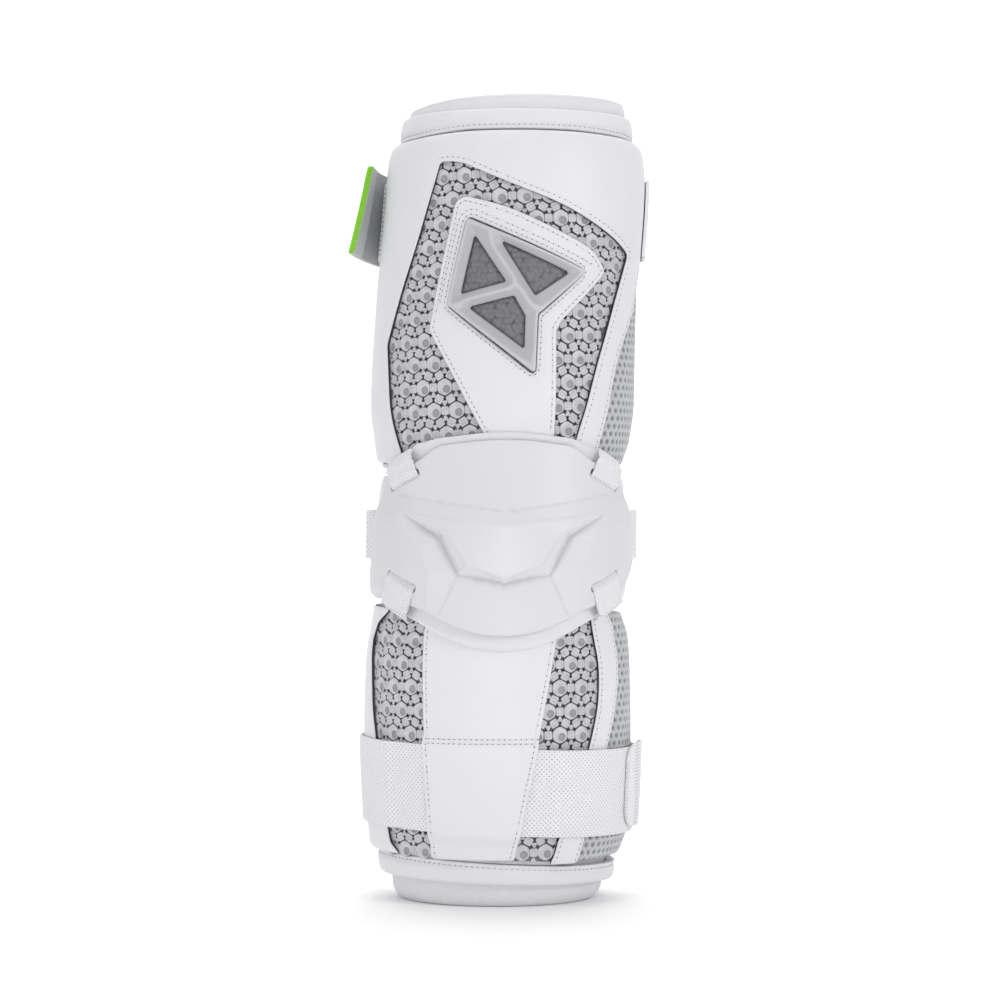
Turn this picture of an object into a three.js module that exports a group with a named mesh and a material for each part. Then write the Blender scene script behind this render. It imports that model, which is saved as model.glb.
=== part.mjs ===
// A left-arm lacrosse guard that stands on its wrist end. Millimetres, +Z up, the elbow towards -Y.
// Every piece is a sheet laid on the arm: a point is a turn round the arm in degrees (0 in front,
// 90 on the +X side), a height above the wrist end, and a level above the inner sleeve's outside.
import * as THREE from "three";

// The arm that the guard is cut for
const LENGTH = 400;
const HALF_WIDTH = 58;
const FRONT_DEPTH = 49;
const BACK_DEPTH = 44;
const SIDE_LEAN = 9;
const ELBOW_BEND = 15;

// Thicknesses and clearances
const GAP = 0.4;
const SLEEVE_WALL = 2.5;
const PAD_THICKNESS = 6.6;
const LEATHER = 2;
const RING_THICKNESS = 5.4;
const GUSSET_CROWN = 2;
const MESH_THICKNESS = 0.8;
const TRUSS_THICKNESS = 2.8;
const WEBBING = 1.8;
const FLANGE_THICKNESS = 2.2;
const FLANGE_MARGIN = 3.6;
const FLANGE_CHIN_MARGIN = 7;

// Elbow cap, its slots and the elastic loops in them
const CAP_BASE = 134;
const CAP_HEIGHT = 96;
const CAP_TURN = 1.5;
const CAP_WALL = 2.6;
const CAP_BULGE = 7.5;
const LOOP_WIDTH = 19;
const LOOP_THICKNESS = 1.3;
const LOOP_SINK = 2.1;
const LOOP_LIFT = 3 * GAP;
const LOOP_REST = 2 * GAP;
const LOOP_BEND = 1;
const SLOT_WIDTH = 4;
const SLOT_SPARE = 1;

// Straps: the height of each one's middle, and its width
const BICEP_STRAP = { middle: 0.8525 * LENGTH, width: 41 };
const ELBOW_STRAP = { middle: 0.4575 * LENGTH, width: 24 };
const FOREARM_STRAP = { middle: 0.14625 * LENGTH, width: 43, slope: 2.6 };
const ELBOW_STRAP_ARCH = 3.4;
const TONGUE_RAMP = 6;
const TAB_THICKNESS = 2.2;
const TAB_FLARE = 11;

// The levels that the layers reach, each worked out from what lies under it
const ON_SLEEVE = GAP;
const PAD_TOP = ON_SLEEVE + PAD_THICKNESS;
const ON_PAD = PAD_TOP + GAP;
const COVER_TOP = ON_PAD + LEATHER;
const ON_COVER = COVER_TOP + GAP;
const FLANGE_TOP = ON_COVER + FLANGE_THICKNESS;
const CAP_EDGE = FLANGE_TOP + GAP + CAP_WALL;
const ON_STRAP = ON_COVER + WEBBING + GAP;

// Facets: all pieces share these cuts, so that nested layers keep their clearance
const TURN_STEP = 12;
const RISE_STEP = LENGTH / 12;
const ARC_MM = THREE.MathUtils.DEG2RAD * (HALF_WIDTH + COVER_TOP);
const ON_A_CUT = 1e-3;
const SAME_POINT = 1e-3;

const WHITE = { color: 0xe6e6ea, roughness: 0.55 };
const CAP_WHITE = { color: 0xe3e3e5, roughness: 0.3 };
const GRAY = { color: 0x9c9da0, roughness: 0.5 };
const LIGHT_GRAY = { color: 0xc4c5c8, roughness: 0.4 };
const DARK_GRAY = { color: 0x6f7073, roughness: 0.8 };
const GREEN = { color: 0x7bc222, roughness: 0.7 };

// The sleeve's sections: height, sideways lean, width, front and back depth and forward bend,
// each as a share of the size named in SECTION_SIZES
const SECTIONS = [
  [0, -0.17, 0.862, 0.837, 0.886, 0.13],
  [0.03, -0.17, 0.914, 0.898, 0.932, 0.1],
  [0.1, -0.11, 0.974, 0.959, 0.977, -0.07],
  [0.2125, -0.11, 1, 1, 1, -0.4],
  [0.3, -0.09, 0.983, 0.99, 1, -0.7],
  [0.375, 0, 0.922, 0.949, 0.977, -0.9],
  [0.455, 0.06, 0.905, 0.939, 0.977, -1],
  [0.535, 0.11, 0.914, 0.949, 0.977, -0.9],
  [0.625, 0.17, 0.983, 1, 1, -0.63],
  [0.75, 0.39, 0.974, 1, 1, -0.2],
  [0.9, 0.89, 0.966, 0.98, 0.977, 0.23],
  [0.9625, 0.94, 0.914, 0.939, 0.955, 0.4],
  [1, 1, 0.879, 0.898, 0.932, 0.47],
];
const SECTION_SIZES = [SIDE_LEAN, HALF_WIDTH, FRONT_DEPTH, BACK_DEPTH, ELBOW_BEND];

// Outlines on the arm: turn in degrees, height as a share of LENGTH
const BICEP_WINDOW = [
  [-50, 0.538], [-56.8, 0.586], [-59.9, 0.647], [-62.9, 0.691], [-58.4, 0.7215], [-47.5, 0.8],
  [-41, 0.867], [-36, 0.914], [-26, 0.9135], [-0.5, 0.883], [21, 0.861], [38, 0.839], [55, 0.817],
  [64, 0.8035], [62, 0.79], [54.5, 0.7395], [42.7, 0.652], [35, 0.5755], [32, 0.538],
];
const BICEP_COVER_EDGE = [
  [47, 0.538], [48.7, 0.57], [57.7, 0.678], [75, 0.738], [79, 0.76], [83, 0.785], [118, 0.79],
  [118, 0.944], [66, 0.949], [25, 0.952], [-25, 0.952], [-58, 0.947], [-118, 0.944], [-118, 0.538],
];
const BICEP_PAD_EDGE = [
  [39, 0.54], [46.5, 0.652], [58.5, 0.7395], [65.5, 0.766], [71, 0.794], [115.5, 0.794],
  [115.5, 0.938], [66, 0.943], [-58, 0.941], [-115.5, 0.938], [-115.5, 0.54],
];
// The lines of a gusset, from under the cover to the back: turn, height and share of GUSSET_CROWN
const BICEP_GUSSET = [
  [[40, 0.54, 0], [41.5, 0.57, 0], [49.5, 0.67, 0], [62, 0.738, 0], [66.5, 0.763, 0], [72, 0.79, 0]],
  [[48, 0.54, 0], [49.9, 0.57, 0], [59, 0.676, 0], [76, 0.734, 0], [80.5, 0.755, 0], [84, 0.79, 0]],
  [[52, 0.548, 1], [55, 0.57, 1], [64, 0.67, 1], [81, 0.72, 1], [87, 0.742, 1], [92, 0.79, 0]],
  [[117, 0.545, 0], [121, 0.58, 0], [121, 0.66, 0], [120, 0.71, 0], [119, 0.75, 0], [116, 0.79, 0]],
];
const KEEL_EDGE = [
  [0, 0.54], [23.4, 0.54], [23.2, 0.66], [22.4, 0.7055], [24.8, 0.718], [44.7, 0.772],
  [46.4, 0.7815], [39.1, 0.805], [18.5, 0.8305], [-4.1, 0.8575], [-22.2, 0.87], [-26.9, 0.864],
  [-31.7, 0.767], [-35, 0.7065], [-20.9, 0.6445], [-9.3, 0.584],
];
const TRUSS_EDGE = [[-26.2, 0.736], [13.6, 0.65], [13.7, 0.724], [34.3, 0.778], [-20.2, 0.844]];
const TRUSS_WINDOWS = [
  [[-20.5, 0.749], [-0.6, 0.764], [-16.4, 0.8225]],
  [[12.2, 0.747], [27.4, 0.776], [-4.9, 0.815]],
  [[-16.7, 0.733], [8.5, 0.6815], [8.4, 0.7225], [3, 0.747]],
];
const FOREARM_COVER_SIDE = [-118, 0.37];
const FOREARM_PAD_SIDE = [-115, 0.366];
const FOREARM_COVER_INNER = [
  [-49.6, 0.0645], [-56.3, 0.078], [-57.9, 0.1], [-66.1, 0.2135], [-69.5, 0.24], [-72.5, 0.29],
  [-75.4, 0.329], [-71.6, 0.349], [-58.3, 0.368],
];
const FOREARM_BAND_INNER = [
  [24.3, 0.0555], [26.3, 0.0665], [27.7, 0.086], [43.1, 0.2], [48.6, 0.2535], [49, 0.298],
  [46.6, 0.33], [45, 0.368],
];
const FOREARM_BAND_OUTER = [
  [55.3, 0.368], [61.2, 0.348], [63.9, 0.291], [61.3, 0.252], [54, 0.198], [41.5, 0.086], [38.6, 0.055],
];
const FOREARM_SEAM = [
  [31.5, 0.056], [34.5, 0.086], [48.5, 0.2], [55, 0.2535], [56.5, 0.295], [53.5, 0.34], [49.5, 0.366],
];
const FOREARM_GUSSET = [
  FOREARM_SEAM.map(([turn, up]) => [turn + 1, up, 0]),
  [
    [39.6, 0.056, 0], [42.5, 0.086, 0], [55, 0.198, 0], [62.3, 0.252, 0], [65, 0.291, 0],
    [62.3, 0.344, 0], [56.5, 0.365, 0],
  ],
  [
    [43.5, 0.06, 1], [47, 0.086, 1], [59.5, 0.198, 1], [66.5, 0.252, 1], [69, 0.291, 1],
    [66.5, 0.338, 1], [60, 0.362, 0],
  ],
  [
    [118, 0.058, 0], [121, 0.086, 0], [122, 0.198, 0], [122, 0.252, 0], [121, 0.291, 0],
    [117, 0.335, 0], [112, 0.358, 0],
  ],
];
const TONGUE_LEFT = { top: -35.3, bottom: -31 };
const TONGUE_RIGHT = { top: 27.5, bottom: 7.5 };
const TONGUE_TOP = 0.354;
const ELBOW_PAD_EDGE = [
  [-84, 0.4], [-80, 0.378], [82, 0.378], [86, 0.4], [86, 0.51], [80, 0.53], [-78, 0.53], [-84, 0.51],
];

// The cap's facets, one half of them: turn from its middle line, height as a share of CAP_HEIGHT
// and rise above its rim as a share of CAP_BULGE
const CAP_POINTS = {
  crown: [0, 1, 0], crownSide: [30, 0.958, 0], crownCorner: [37, 0.896, 0], shoulder: [56, 0.802, 0],
  templeTop: [63, 0.698, 0], templeUpper: [71.5, 0.594, 0], templeLower: [75, 0.385, 0],
  templeBase: [66, 0.276, 0], hip: [58, 0.193, 0], chinSide: [36, 0.135, 0],
  chinLower: [28, 0.089, 0], chinMid: [14.5, 0.024, 0], chin: [0, 0, 0],
  browTop: [0, 0.629, 0.7], browEnd: [47, 0.714, 0.2], browLow: [0, 0.559, 0.95],
  browLowEnd: [46, 0.629, 0.34], shieldShoulder: [21.8, 0.522, 0.85],
  shieldCorner: [14.4, 0.366, 0.92], shieldTip: [0, 0.301, 0.88],
  valleyShoulder: [27.4, 0.505, 0.55], valleyCorner: [19.2, 0.3, 0.5],
  valleyFoot: [27.6, 0.106, 0.08], channelTip: [0, 0.25, 0.46],
  wingTop: [60, 0.604, 0.16], wingUpper: [51, 0.552, 0.37], wingShoulder: [35.5, 0.454, 0.68],
  wingElbow: [30.6, 0.323, 0.68], wingFoot: [32.3, 0.154, 0.13],
};
const CAP_RIM = [
  "crown", "crownSide", "crownCorner", "shoulder", "templeTop", "templeUpper", "templeLower",
  "templeBase", "hip", "chinSide", "chinLower", "chinMid", "chin",
];
const CAP_FACES = {
  forehead: ["crown", "crownSide", "crownCorner", "shoulder", "templeTop", "browEnd", "browTop"],
  brow: ["browTop", "browEnd", "browLowEnd", "browLow"],
  browSide: ["browEnd", "templeTop", "templeUpper", "wingTop", "browLowEnd"],
  shield: ["browLow", "browLowEnd", "shieldShoulder", "shieldCorner", "shieldTip"],
  shieldFlank: ["browLowEnd", "valleyShoulder", "shieldShoulder"],
  shieldSide: ["shieldShoulder", "valleyShoulder", "valleyCorner", "shieldCorner"],
  shieldFoot: ["shieldCorner", "valleyCorner", "channelTip", "shieldTip"],
  wingBevelTop: ["browLowEnd", "wingTop", "wingUpper", "wingShoulder", "valleyShoulder"],
  wingBevelMiddle: ["valleyShoulder", "wingShoulder", "wingElbow", "valleyCorner"],
  wingBevelFoot: ["valleyCorner", "wingElbow", "wingFoot", "valleyFoot"],
  wing: [
    "wingTop", "templeUpper", "templeLower", "templeBase", "hip", "chinSide", "wingFoot",
    "wingElbow", "wingShoulder", "wingUpper",
  ],
  channel: ["channelTip", "valleyCorner", "valleyFoot", "chinLower", "chinMid", "chin"],
  wingSole: ["wingFoot", "chinSide", "chinLower", "valleyFoot"],
};
// Slots for the elastic loops: place as in CAP_POINTS, tilt in degrees, which way the loop leaves,
// and how far it runs
const CAP_SLOTS = {
  upper: { face: "forehead", turn: 46.5, up: 0.787, tilt: -22, way: 1, bar: 6.5, reach: 13 },
  lower: { face: "wing", turn: 46.4, up: 0.28, tilt: 20.5, way: -1, bar: 13, reach: 17 },
};

// The smooth form of the sleeve's outside
function tangents(column) {
  const chords = SECTIONS.slice(1).map((row, i) => {
    const below = SECTIONS[i];
    return (row[column] - below[column]) / (row[0] - below[0]);
  });
  return SECTIONS.map((row, i) => {
    const before = chords[Math.max(i - 1, 0)];
    const after = chords[Math.min(i, chords.length - 1)];
    return before * after > 0 ? (2 * before * after) / (before + after) : 0;
  });
}
const SECTION_TANGENTS = SECTION_SIZES.map((size, k) => tangents(k + 1));

function hermite(a, b, leaving, arriving, t) {
  const square = t * t;
  const cube = square * t;
  return a * (2 * cube - 3 * square + 1) + leaving * (cube - 2 * square + t)
    + b * (3 * square - 2 * cube) + arriving * (cube - square);
}

function sectionAt(z) {
  const up = THREE.MathUtils.clamp(z / LENGTH, 0, 1);
  let i = 0;
  while (i < SECTIONS.length - 2 && up > SECTIONS[i + 1][0]) i += 1;
  const span = SECTIONS[i + 1][0] - SECTIONS[i][0];
  const t = (up - SECTIONS[i][0]) / span;
  return SECTION_SIZES.map((size, k) => {
    const [leaving, arriving] = [i, i + 1].map((row) => SECTION_TANGENTS[k][row] * span);
    return size * hermite(SECTIONS[i][k + 1], SECTIONS[i + 1][k + 1], leaving, arriving, t);
  });
}

function formPoint(turn, z, level) {
  const [lean, width, front, back, bend] = sectionAt(z);
  const angle = THREE.MathUtils.degToRad(turn);
  const depth = Math.cos(angle) >= 0 ? front : back;
  const outwards = new THREE.Vector3(depth * Math.sin(angle), -width * Math.cos(angle), 0).normalize();
  const onSleeve = new THREE.Vector3(lean + width * Math.sin(angle), bend - depth * Math.cos(angle), z);
  return onSleeve.addScaledVector(outwards, level);
}

// The same form in facets, between the shared cuts
function armPoint(turn, z, level) {
  const column = Math.floor(turn / TURN_STEP);
  const row = Math.min(Math.floor(z / RISE_STEP), Math.round(LENGTH / RISE_STEP) - 1);
  const across = turn / TURN_STEP - column;
  const up = z / RISE_STEP - row;
  const edge = (r) => formPoint(column * TURN_STEP, r * RISE_STEP, level)
    .lerp(formPoint((column + 1) * TURN_STEP, r * RISE_STEP, level), across);
  return edge(row).lerp(edge(row + 1), up);
}

// Flat work. A sheet point is [turn, z, outer level, inner level]
function onSheet(outline, outer, inner) {
  return outline.map(([turn, up]) => [turn, up * LENGTH, outer, inner]);
}

function facingOut(corners) {
  const flat = corners.map(([turn, z]) => new THREE.Vector2(turn, z));
  return THREE.ShapeUtils.isClockWise(flat) ? corners.toReversed() : corners;
}

function triangulate(contour, holes = []) {
  const flat = (points) => points.map(([turn, z]) => new THREE.Vector2(turn * ARC_MM, z));
  const corners = [...contour, ...holes.flat()];
  const faces = THREE.ShapeUtils.triangulateShape(flat(contour), holes.map(flat));
  return faces.map((face) => facingOut(face.map((i) => corners[i])));
}

// Between two open outlines with as many points each
function ribbon(left, right) {
  return left.slice(1).map((point, i) => facingOut([left[i], right[i], right[i + 1], point]));
}

function comesFirst(a, b) {
  return a[0] !== b[0] ? a[0] < b[0] : a[1] < b[1];
}

function crossing(a, b, axis, cut) {
  const [first, last] = comesFirst(a, b) ? [a, b] : [b, a];
  const t = (cut - first[axis]) / (last[axis] - first[axis]);
  const point = first.map((value, k) => value + (last[k] - value) * t);
  point[axis] = cut;
  return point;
}

function cutFace(face, axis, cut) {
  const sides = face.map((point) => {
    const offset = point[axis] - cut;
    return Math.abs(offset) < ON_A_CUT ? 0 : Math.sign(offset);
  });
  if (!sides.includes(1) || !sides.includes(-1)) return [face];
  return [1, -1].map((kept) => face.flatMap((point, i) => {
    const next = (i + 1) % face.length;
    const held = sides[i] === -kept ? [] : [point];
    return sides[i] * sides[next] < 0 ? [...held, crossing(point, face[next], axis, cut)] : held;
  }));
}

function cutAll(faces, axis, step) {
  const places = faces.flat().map((point) => point[axis]);
  const last = Math.ceil(Math.max(...places) / step);
  let pieces = faces;
  for (let i = Math.floor(Math.min(...places) / step); i <= last; i += 1) {
    pieces = pieces.flatMap((face) => cutFace(face, axis, i * step));
  }
  return pieces;
}

// A closed solid: the sheet's outside and inside on the arm, and walls along its free edges
function sheetSolid(sheet) {
  const places = new Map();
  const outside = [];
  const inside = [];
  const indexOf = ([turn, z, outer, inner]) => {
    const point = armPoint(turn, z, outer);
    const key = point.toArray().map((value) => Math.round(value / SAME_POINT)).join();
    if (!places.has(key)) {
      places.set(key, outside.length);
      outside.push(point);
      inside.push(armPoint(turn, z, inner));
    }
    return places.get(key);
  };
  const faces = cutAll(cutAll(sheet, 0, TURN_STEP), 1, RISE_STEP).flatMap((face) => {
    const corners = face.map(indexOf);
    return corners.slice(2).map((corner, i) => [corners[0], corners[i + 1], corner]);
  }).filter(([a, b, c]) => a !== b && b !== c && c !== a);
  const sides = faces.flatMap(([a, b, c]) => [[a, b], [b, c], [c, a]]);
  const known = new Set(sides.map(([a, b]) => `${a} ${b}`));
  const under = outside.length;
  const walls = sides.filter(([a, b]) => !known.has(`${b} ${a}`))
    .flatMap(([a, b]) => [b, a, a + under, b, a + under, b + under]);
  const back = faces.flatMap(([a, b, c]) => [c + under, b + under, a + under]);
  const geometry = new THREE.BufferGeometry().setFromPoints([...outside, ...inside]);
  geometry.setIndex([...faces.flat(), ...back, ...walls]);
  return geometry;
}

function panel(outline, outer, inner, holes = []) {
  const flatHoles = holes.map((hole) => onSheet(hole, outer, inner));
  return sheetSolid(triangulate(onSheet(outline, outer, inner), flatHoles));
}

// An outline moved outwards by a distance in millimetres, or by one for each corner, which stay sharp
function grown(outline, distance) {
  const distances = [distance].flat();
  const flat = outline.map(([turn, up]) => new THREE.Vector2(turn * ARC_MM, up * LENGTH));
  const way = THREE.ShapeUtils.isClockWise(flat) ? -1 : 1;
  const normal = (a, b) => new THREE.Vector2(b.y - a.y, a.x - b.x).normalize().multiplyScalar(way);
  return flat.map((point, i) => {
    const before = normal(flat.at(i - 1), point);
    const after = normal(point, flat[(i + 1) % flat.length]);
    const miter = before.clone().add(after).normalize();
    const moved = point.clone().addScaledVector(miter, distances[i % distances.length] / miter.dot(after));
    return [moved.x / ARC_MM, moved.y / LENGTH];
  });
}

// Rings that close round the arm; their edges may slope from side to side
function ring(lowEdge, highEdge, outer, inner) {
  const turns = Array.from({ length: 360 / TURN_STEP + 1 }, (unused, i) => i * TURN_STEP - 180);
  const edge = (heightAt) => turns.map((turn) => [turn, heightAt(turn), outer, inner]);
  return sheetSolid(ribbon(edge(highEdge), edge(lowEdge)));
}

function innerSleeve() {
  return ring(() => 0, () => LENGTH, 0, -SLEEVE_WALL);
}

const RING_TOP = ON_SLEEVE + RING_THICKNESS;
const TOP_RING = { low: 0.9545, high: 0.98 };
const WRIST_RING = { low: 0.0295, high: 0.0555, lowSlope: 0.0045, highSlope: 0.0085 };

function topRing() {
  return ring(() => TOP_RING.low * LENGTH, () => TOP_RING.high * LENGTH, RING_TOP, ON_SLEEVE);
}

function wristRingEdge(share, slope) {
  return (turn) => (share - slope * Math.sin(THREE.MathUtils.degToRad(turn))) * LENGTH;
}

function wristRing() {
  const low = wristRingEdge(WRIST_RING.low, WRIST_RING.lowSlope);
  const high = wristRingEdge(WRIST_RING.high, WRIST_RING.highSlope);
  return ring(low, high, RING_TOP, ON_SLEEVE);
}

// The forearm pieces end just above the wrist ring
function onHem(turn) {
  return [turn, wristRingEdge(WRIST_RING.high, WRIST_RING.highSlope)(turn) / LENGTH + 2 * GAP / LENGTH];
}

function hem(from, to) {
  const steps = Math.max(1, Math.round(Math.abs(to - from) / TURN_STEP));
  return Array.from({ length: steps + 1 }, (unused, i) => onHem(from + (to - from) * i / steps));
}

function bicepCover() {
  return panel([...BICEP_WINDOW, ...BICEP_COVER_EDGE], COVER_TOP, ON_PAD);
}

function bicepPad() {
  return panel(BICEP_PAD_EDGE, PAD_TOP, ON_SLEEVE);
}

// A gusset starts thin under a cover's edge and swells beyond it
function gusset(lines) {
  const onArm = lines.map((line) => line.map(([turn, up, crown]) => (
    [turn, up * LENGTH, PAD_TOP + crown * GUSSET_CROWN, ON_SLEEVE]
  )));
  return sheetSolid(onArm.slice(1).flatMap((line, i) => ribbon(onArm[i], line)));
}

function bicepKeel() {
  return panel(KEEL_EDGE, COVER_TOP, ON_PAD, [grown(TRUSS_EDGE, GAP)]);
}

function trussMesh() {
  return panel(TRUSS_EDGE, ON_PAD + MESH_THICKNESS, ON_PAD);
}

function trussInsert() {
  const base = ON_PAD + MESH_THICKNESS + GAP;
  return panel(TRUSS_EDGE, base + TRUSS_THICKNESS, base, TRUSS_WINDOWS);
}

function forearmPad() {
  const foot = hem(FOREARM_PAD_SIDE[0], FOREARM_SEAM[0][0]);
  return panel([...foot, ...FOREARM_SEAM.slice(1), FOREARM_PAD_SIDE], PAD_TOP, ON_SLEEVE);
}

function forearmCover() {
  const foot = hem(FOREARM_COVER_SIDE[0], FOREARM_COVER_INNER[0][0]);
  return panel([...foot, ...FOREARM_COVER_INNER.slice(1), FOREARM_COVER_SIDE], COVER_TOP, ON_PAD);
}

function forearmBand() {
  return panel([...FOREARM_BAND_OUTER, ...FOREARM_BAND_INNER], COVER_TOP, ON_PAD);
}

function elbowPad() {
  return panel(ELBOW_PAD_EDGE, COVER_TOP, ON_SLEEVE);
}

// The rows of each strap: turn and the level of its inside. It rises over covers, arches away from
// the elbow and sinks to the sleeve behind
const BICEP_STRAP_ROWS = [
  [86, ON_COVER], [119, ON_COVER], [150, ON_SLEEVE], [210, ON_SLEEVE], [241, ON_COVER],
  [262, ON_COVER],
];
const ELBOW_STRAP_ROWS = [
  [81.5, ON_COVER], [89, ON_COVER + ELBOW_STRAP_ARCH], [101, ON_COVER + ELBOW_STRAP_ARCH],
  [135, ON_SLEEVE], [225, ON_SLEEVE], [259, ON_COVER + ELBOW_STRAP_ARCH],
  [271, ON_COVER + ELBOW_STRAP_ARCH], [278.5, ON_COVER],
];
const FOREARM_STRAP_ROWS = [
  [-180, ON_SLEEVE], [-152, ON_SLEEVE], [-120, ON_COVER], [-90, ON_COVER], [-55, ON_COVER],
  [-49, ON_PAD], [20, ON_PAD], [26, ON_COVER], [75, ON_COVER], [124, ON_COVER], [152, ON_SLEEVE],
  [180, ON_SLEEVE],
];
// The forearm strap's free end, turned back over the strap on the +X side
const STRAP_END = { from: 77, to: 98, inset: 0.5, lift: 1.6 };

// How far a sloping strap lies above its middle height at a turn: it rises towards the -X side
function strapRise({ slope = 0 }, turn) {
  return -slope * Math.sin(THREE.MathUtils.degToRad(turn));
}

function strap(size, rows) {
  const edge = (z) => rows.map(([turn, level]) => (
    [turn, z + strapRise(size, turn), level + WEBBING, level]
  ));
  const { middle, width } = size;
  return sheetSolid(ribbon(edge(middle + width / 2), edge(middle - width / 2)));
}

function forearmStrapEnd() {
  const { middle, width } = FOREARM_STRAP;
  const half = width / 2 - STRAP_END.inset;
  const turns = [STRAP_END.from, (STRAP_END.from + STRAP_END.to) / 2, STRAP_END.to];
  const level = (i) => ON_STRAP + (i === 1 ? STRAP_END.lift : 0);
  const edge = (z) => turns.map((turn, i) => [turn, z, level(i) + WEBBING, level(i)]);
  return sheetSolid(ribbon(edge(middle + half), edge(middle - half)));
}

// The tongue lies on the pad and steps up over the forearm strap, along the strap's slope. A row is
// a height, a level and how much of the slope it follows
function forearmTongue() {
  const overStrap = ON_PAD + WEBBING + GAP;
  const low = FOREARM_STRAP.middle - FOREARM_STRAP.width / 2;
  const high = FOREARM_STRAP.middle + FOREARM_STRAP.width / 2;
  const foot = onHem(TONGUE_LEFT.bottom)[1] * LENGTH;
  const rows = [
    [foot, ON_PAD, 0], [low - TONGUE_RAMP, ON_PAD, 1], [low - GAP, overStrap, 1],
    [high + GAP, overStrap, 1], [high + TONGUE_RAMP, ON_PAD, 1], [TONGUE_TOP * LENGTH, ON_PAD, 0],
  ];
  const edge = ({ top, bottom }) => rows.map(([z, level, follows]) => {
    const turn = THREE.MathUtils.mapLinear(z, foot, TONGUE_TOP * LENGTH, bottom, top);
    return [turn, z + follows * strapRise(FOREARM_STRAP, turn), level + LEATHER, level];
  });
  return sheetSolid(ribbon(edge(TONGUE_LEFT), edge(TONGUE_RIGHT)));
}

// The tab at the bicep strap's -X end rises and flares away from the arm towards its free edge,
// less at its top than at its foot. Its edging is a strip between two turns past that edge
const TAB = { from: -106, to: -86, low: 0.7975, high: 0.9125, rise: 0.0125 };
const TAB_COLUMNS = [0, 0.35, 0.7, 1];
const TAB_EDGING = [0.4, 3];
const TOP_SHARE = { rise: 0.6, flare: 0.45 };

function tabPoint(across, up, extra = 0) {
  const { lerp } = THREE.MathUtils;
  const rise = TAB.rise * across * lerp(1, TOP_SHARE.rise, up);
  const level = ON_STRAP + TAB_FLARE * across * lerp(1, TOP_SHARE.flare, up);
  const height = (lerp(TAB.low, TAB.high, up) + rise) * LENGTH;
  return [lerp(TAB.from, TAB.to, across) + extra, height, level + TAB_THICKNESS, level];
}

function pullTab() {
  const edge = (up) => TAB_COLUMNS.map((across) => tabPoint(across, up));
  return sheetSolid(ribbon(edge(1), edge(0)));
}

function tabEdge() {
  const edge = (up) => TAB_EDGING.map((extra) => tabPoint(1, up, extra));
  return sheetSolid(ribbon(edge(1), edge(0)));
}

// The elbow cap
function capPoint(name, side) {
  const [turn, up, rise] = CAP_POINTS[name];
  const level = CAP_EDGE + rise * CAP_BULGE;
  return [CAP_TURN + side * turn, CAP_BASE + up * CAP_HEIGHT, level, level - CAP_WALL];
}

// A place beside a slot: along it and away from it, in millimetres
function besideSlot(slot, side, along, away) {
  const tilt = THREE.MathUtils.degToRad(slot.tilt);
  const across = along * Math.cos(tilt) - away * slot.way * Math.sin(tilt);
  const up = along * Math.sin(tilt) + away * slot.way * Math.cos(tilt);
  return [CAP_TURN + side * (slot.turn + across / ARC_MM), CAP_BASE + slot.up * CAP_HEIGHT + up];
}

function faceOf(name, side) {
  return CAP_FACES[name].map((corner) => capPoint(corner, side));
}

// The level of a cap face at a place, from the triangle that holds it
function levelOn(face, [turn, z]) {
  const target = new THREE.Vector3(turn * ARC_MM, z, 0);
  const flat = ([t, height]) => new THREE.Vector3(t * ARC_MM, height, 0);
  const found = triangulate(face).map((corners) => {
    const shares = new THREE.Triangle(...corners.map(flat)).getBarycoord(target, new THREE.Vector3());
    return { corners, shares: shares.toArray() };
  }).sort((a, b) => Math.min(...b.shares) - Math.min(...a.shares))[0];
  return found.corners.reduce((sum, corner, i) => sum + corner[2] * found.shares[i], 0);
}

function slotHole(slot, side) {
  const halfLength = LOOP_WIDTH / 2 + SLOT_SPARE;
  const halfWidth = SLOT_WIDTH / 2;
  const face = faceOf(slot.face, side);
  const corners = [[-1, -1], [1, -1], [1, 1], [-1, 1]];
  return corners.map(([along, away]) => {
    const place = besideSlot(slot, side, along * halfLength, away * halfWidth);
    const level = levelOn(face, place);
    return [...place, level, level - CAP_WALL];
  });
}

function elbowCap() {
  const slots = Object.values(CAP_SLOTS);
  const triangles = [-1, 1].flatMap((side) => Object.keys(CAP_FACES).flatMap((name) => {
    const holes = slots.filter((slot) => slot.face === name).map((slot) => slotHole(slot, side));
    return triangulate(faceOf(name, side), holes);
  }));
  return sheetSolid(triangles);
}

function capFlange() {
  const half = (side) => CAP_RIM.map((name) => ({
    place: capPoint(name, side),
    margin: name.startsWith("chin") ? FLANGE_CHIN_MARGIN : FLANGE_MARGIN,
  }));
  const around = [...half(1), ...half(-1).slice(1, -1).reverse()];
  const outline = around.map(({ place: [turn, z] }) => [turn, z / LENGTH]);
  return panel(grown(outline, around.map(({ margin }) => margin)), FLANGE_TOP, ON_COVER);
}

// An elastic loop comes out of its slot, crosses the bar beside it and lies over the flange
function capLoop(slot, side) {
  const face = faceOf(slot.face, side);
  const lip = SLOT_WIDTH / 2;
  const edge = (along) => {
    const capLevel = (away) => levelOn(face, besideSlot(slot, side, along, away));
    const inSlot = capLevel(0) - LOOP_SINK;
    const rows = [
      [-lip / 2, inSlot], [lip / 3, inSlot], [lip * 0.75, capLevel(lip) + LOOP_LIFT],
      [slot.bar, capLevel(slot.bar - LOOP_BEND) + LOOP_LIFT],
      [slot.bar + LOOP_BEND, CAP_EDGE + LOOP_REST], [slot.reach, FLANGE_TOP + LOOP_REST],
    ];
    return rows.map(([away, inner]) => (
      [...besideSlot(slot, side, along, away), inner + LOOP_THICKNESS, inner]
    ));
  };
  return sheetSolid(ribbon(edge(-LOOP_WIDTH / 2), edge(LOOP_WIDTH / 2)));
}

const guard = new THREE.Group();

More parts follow.
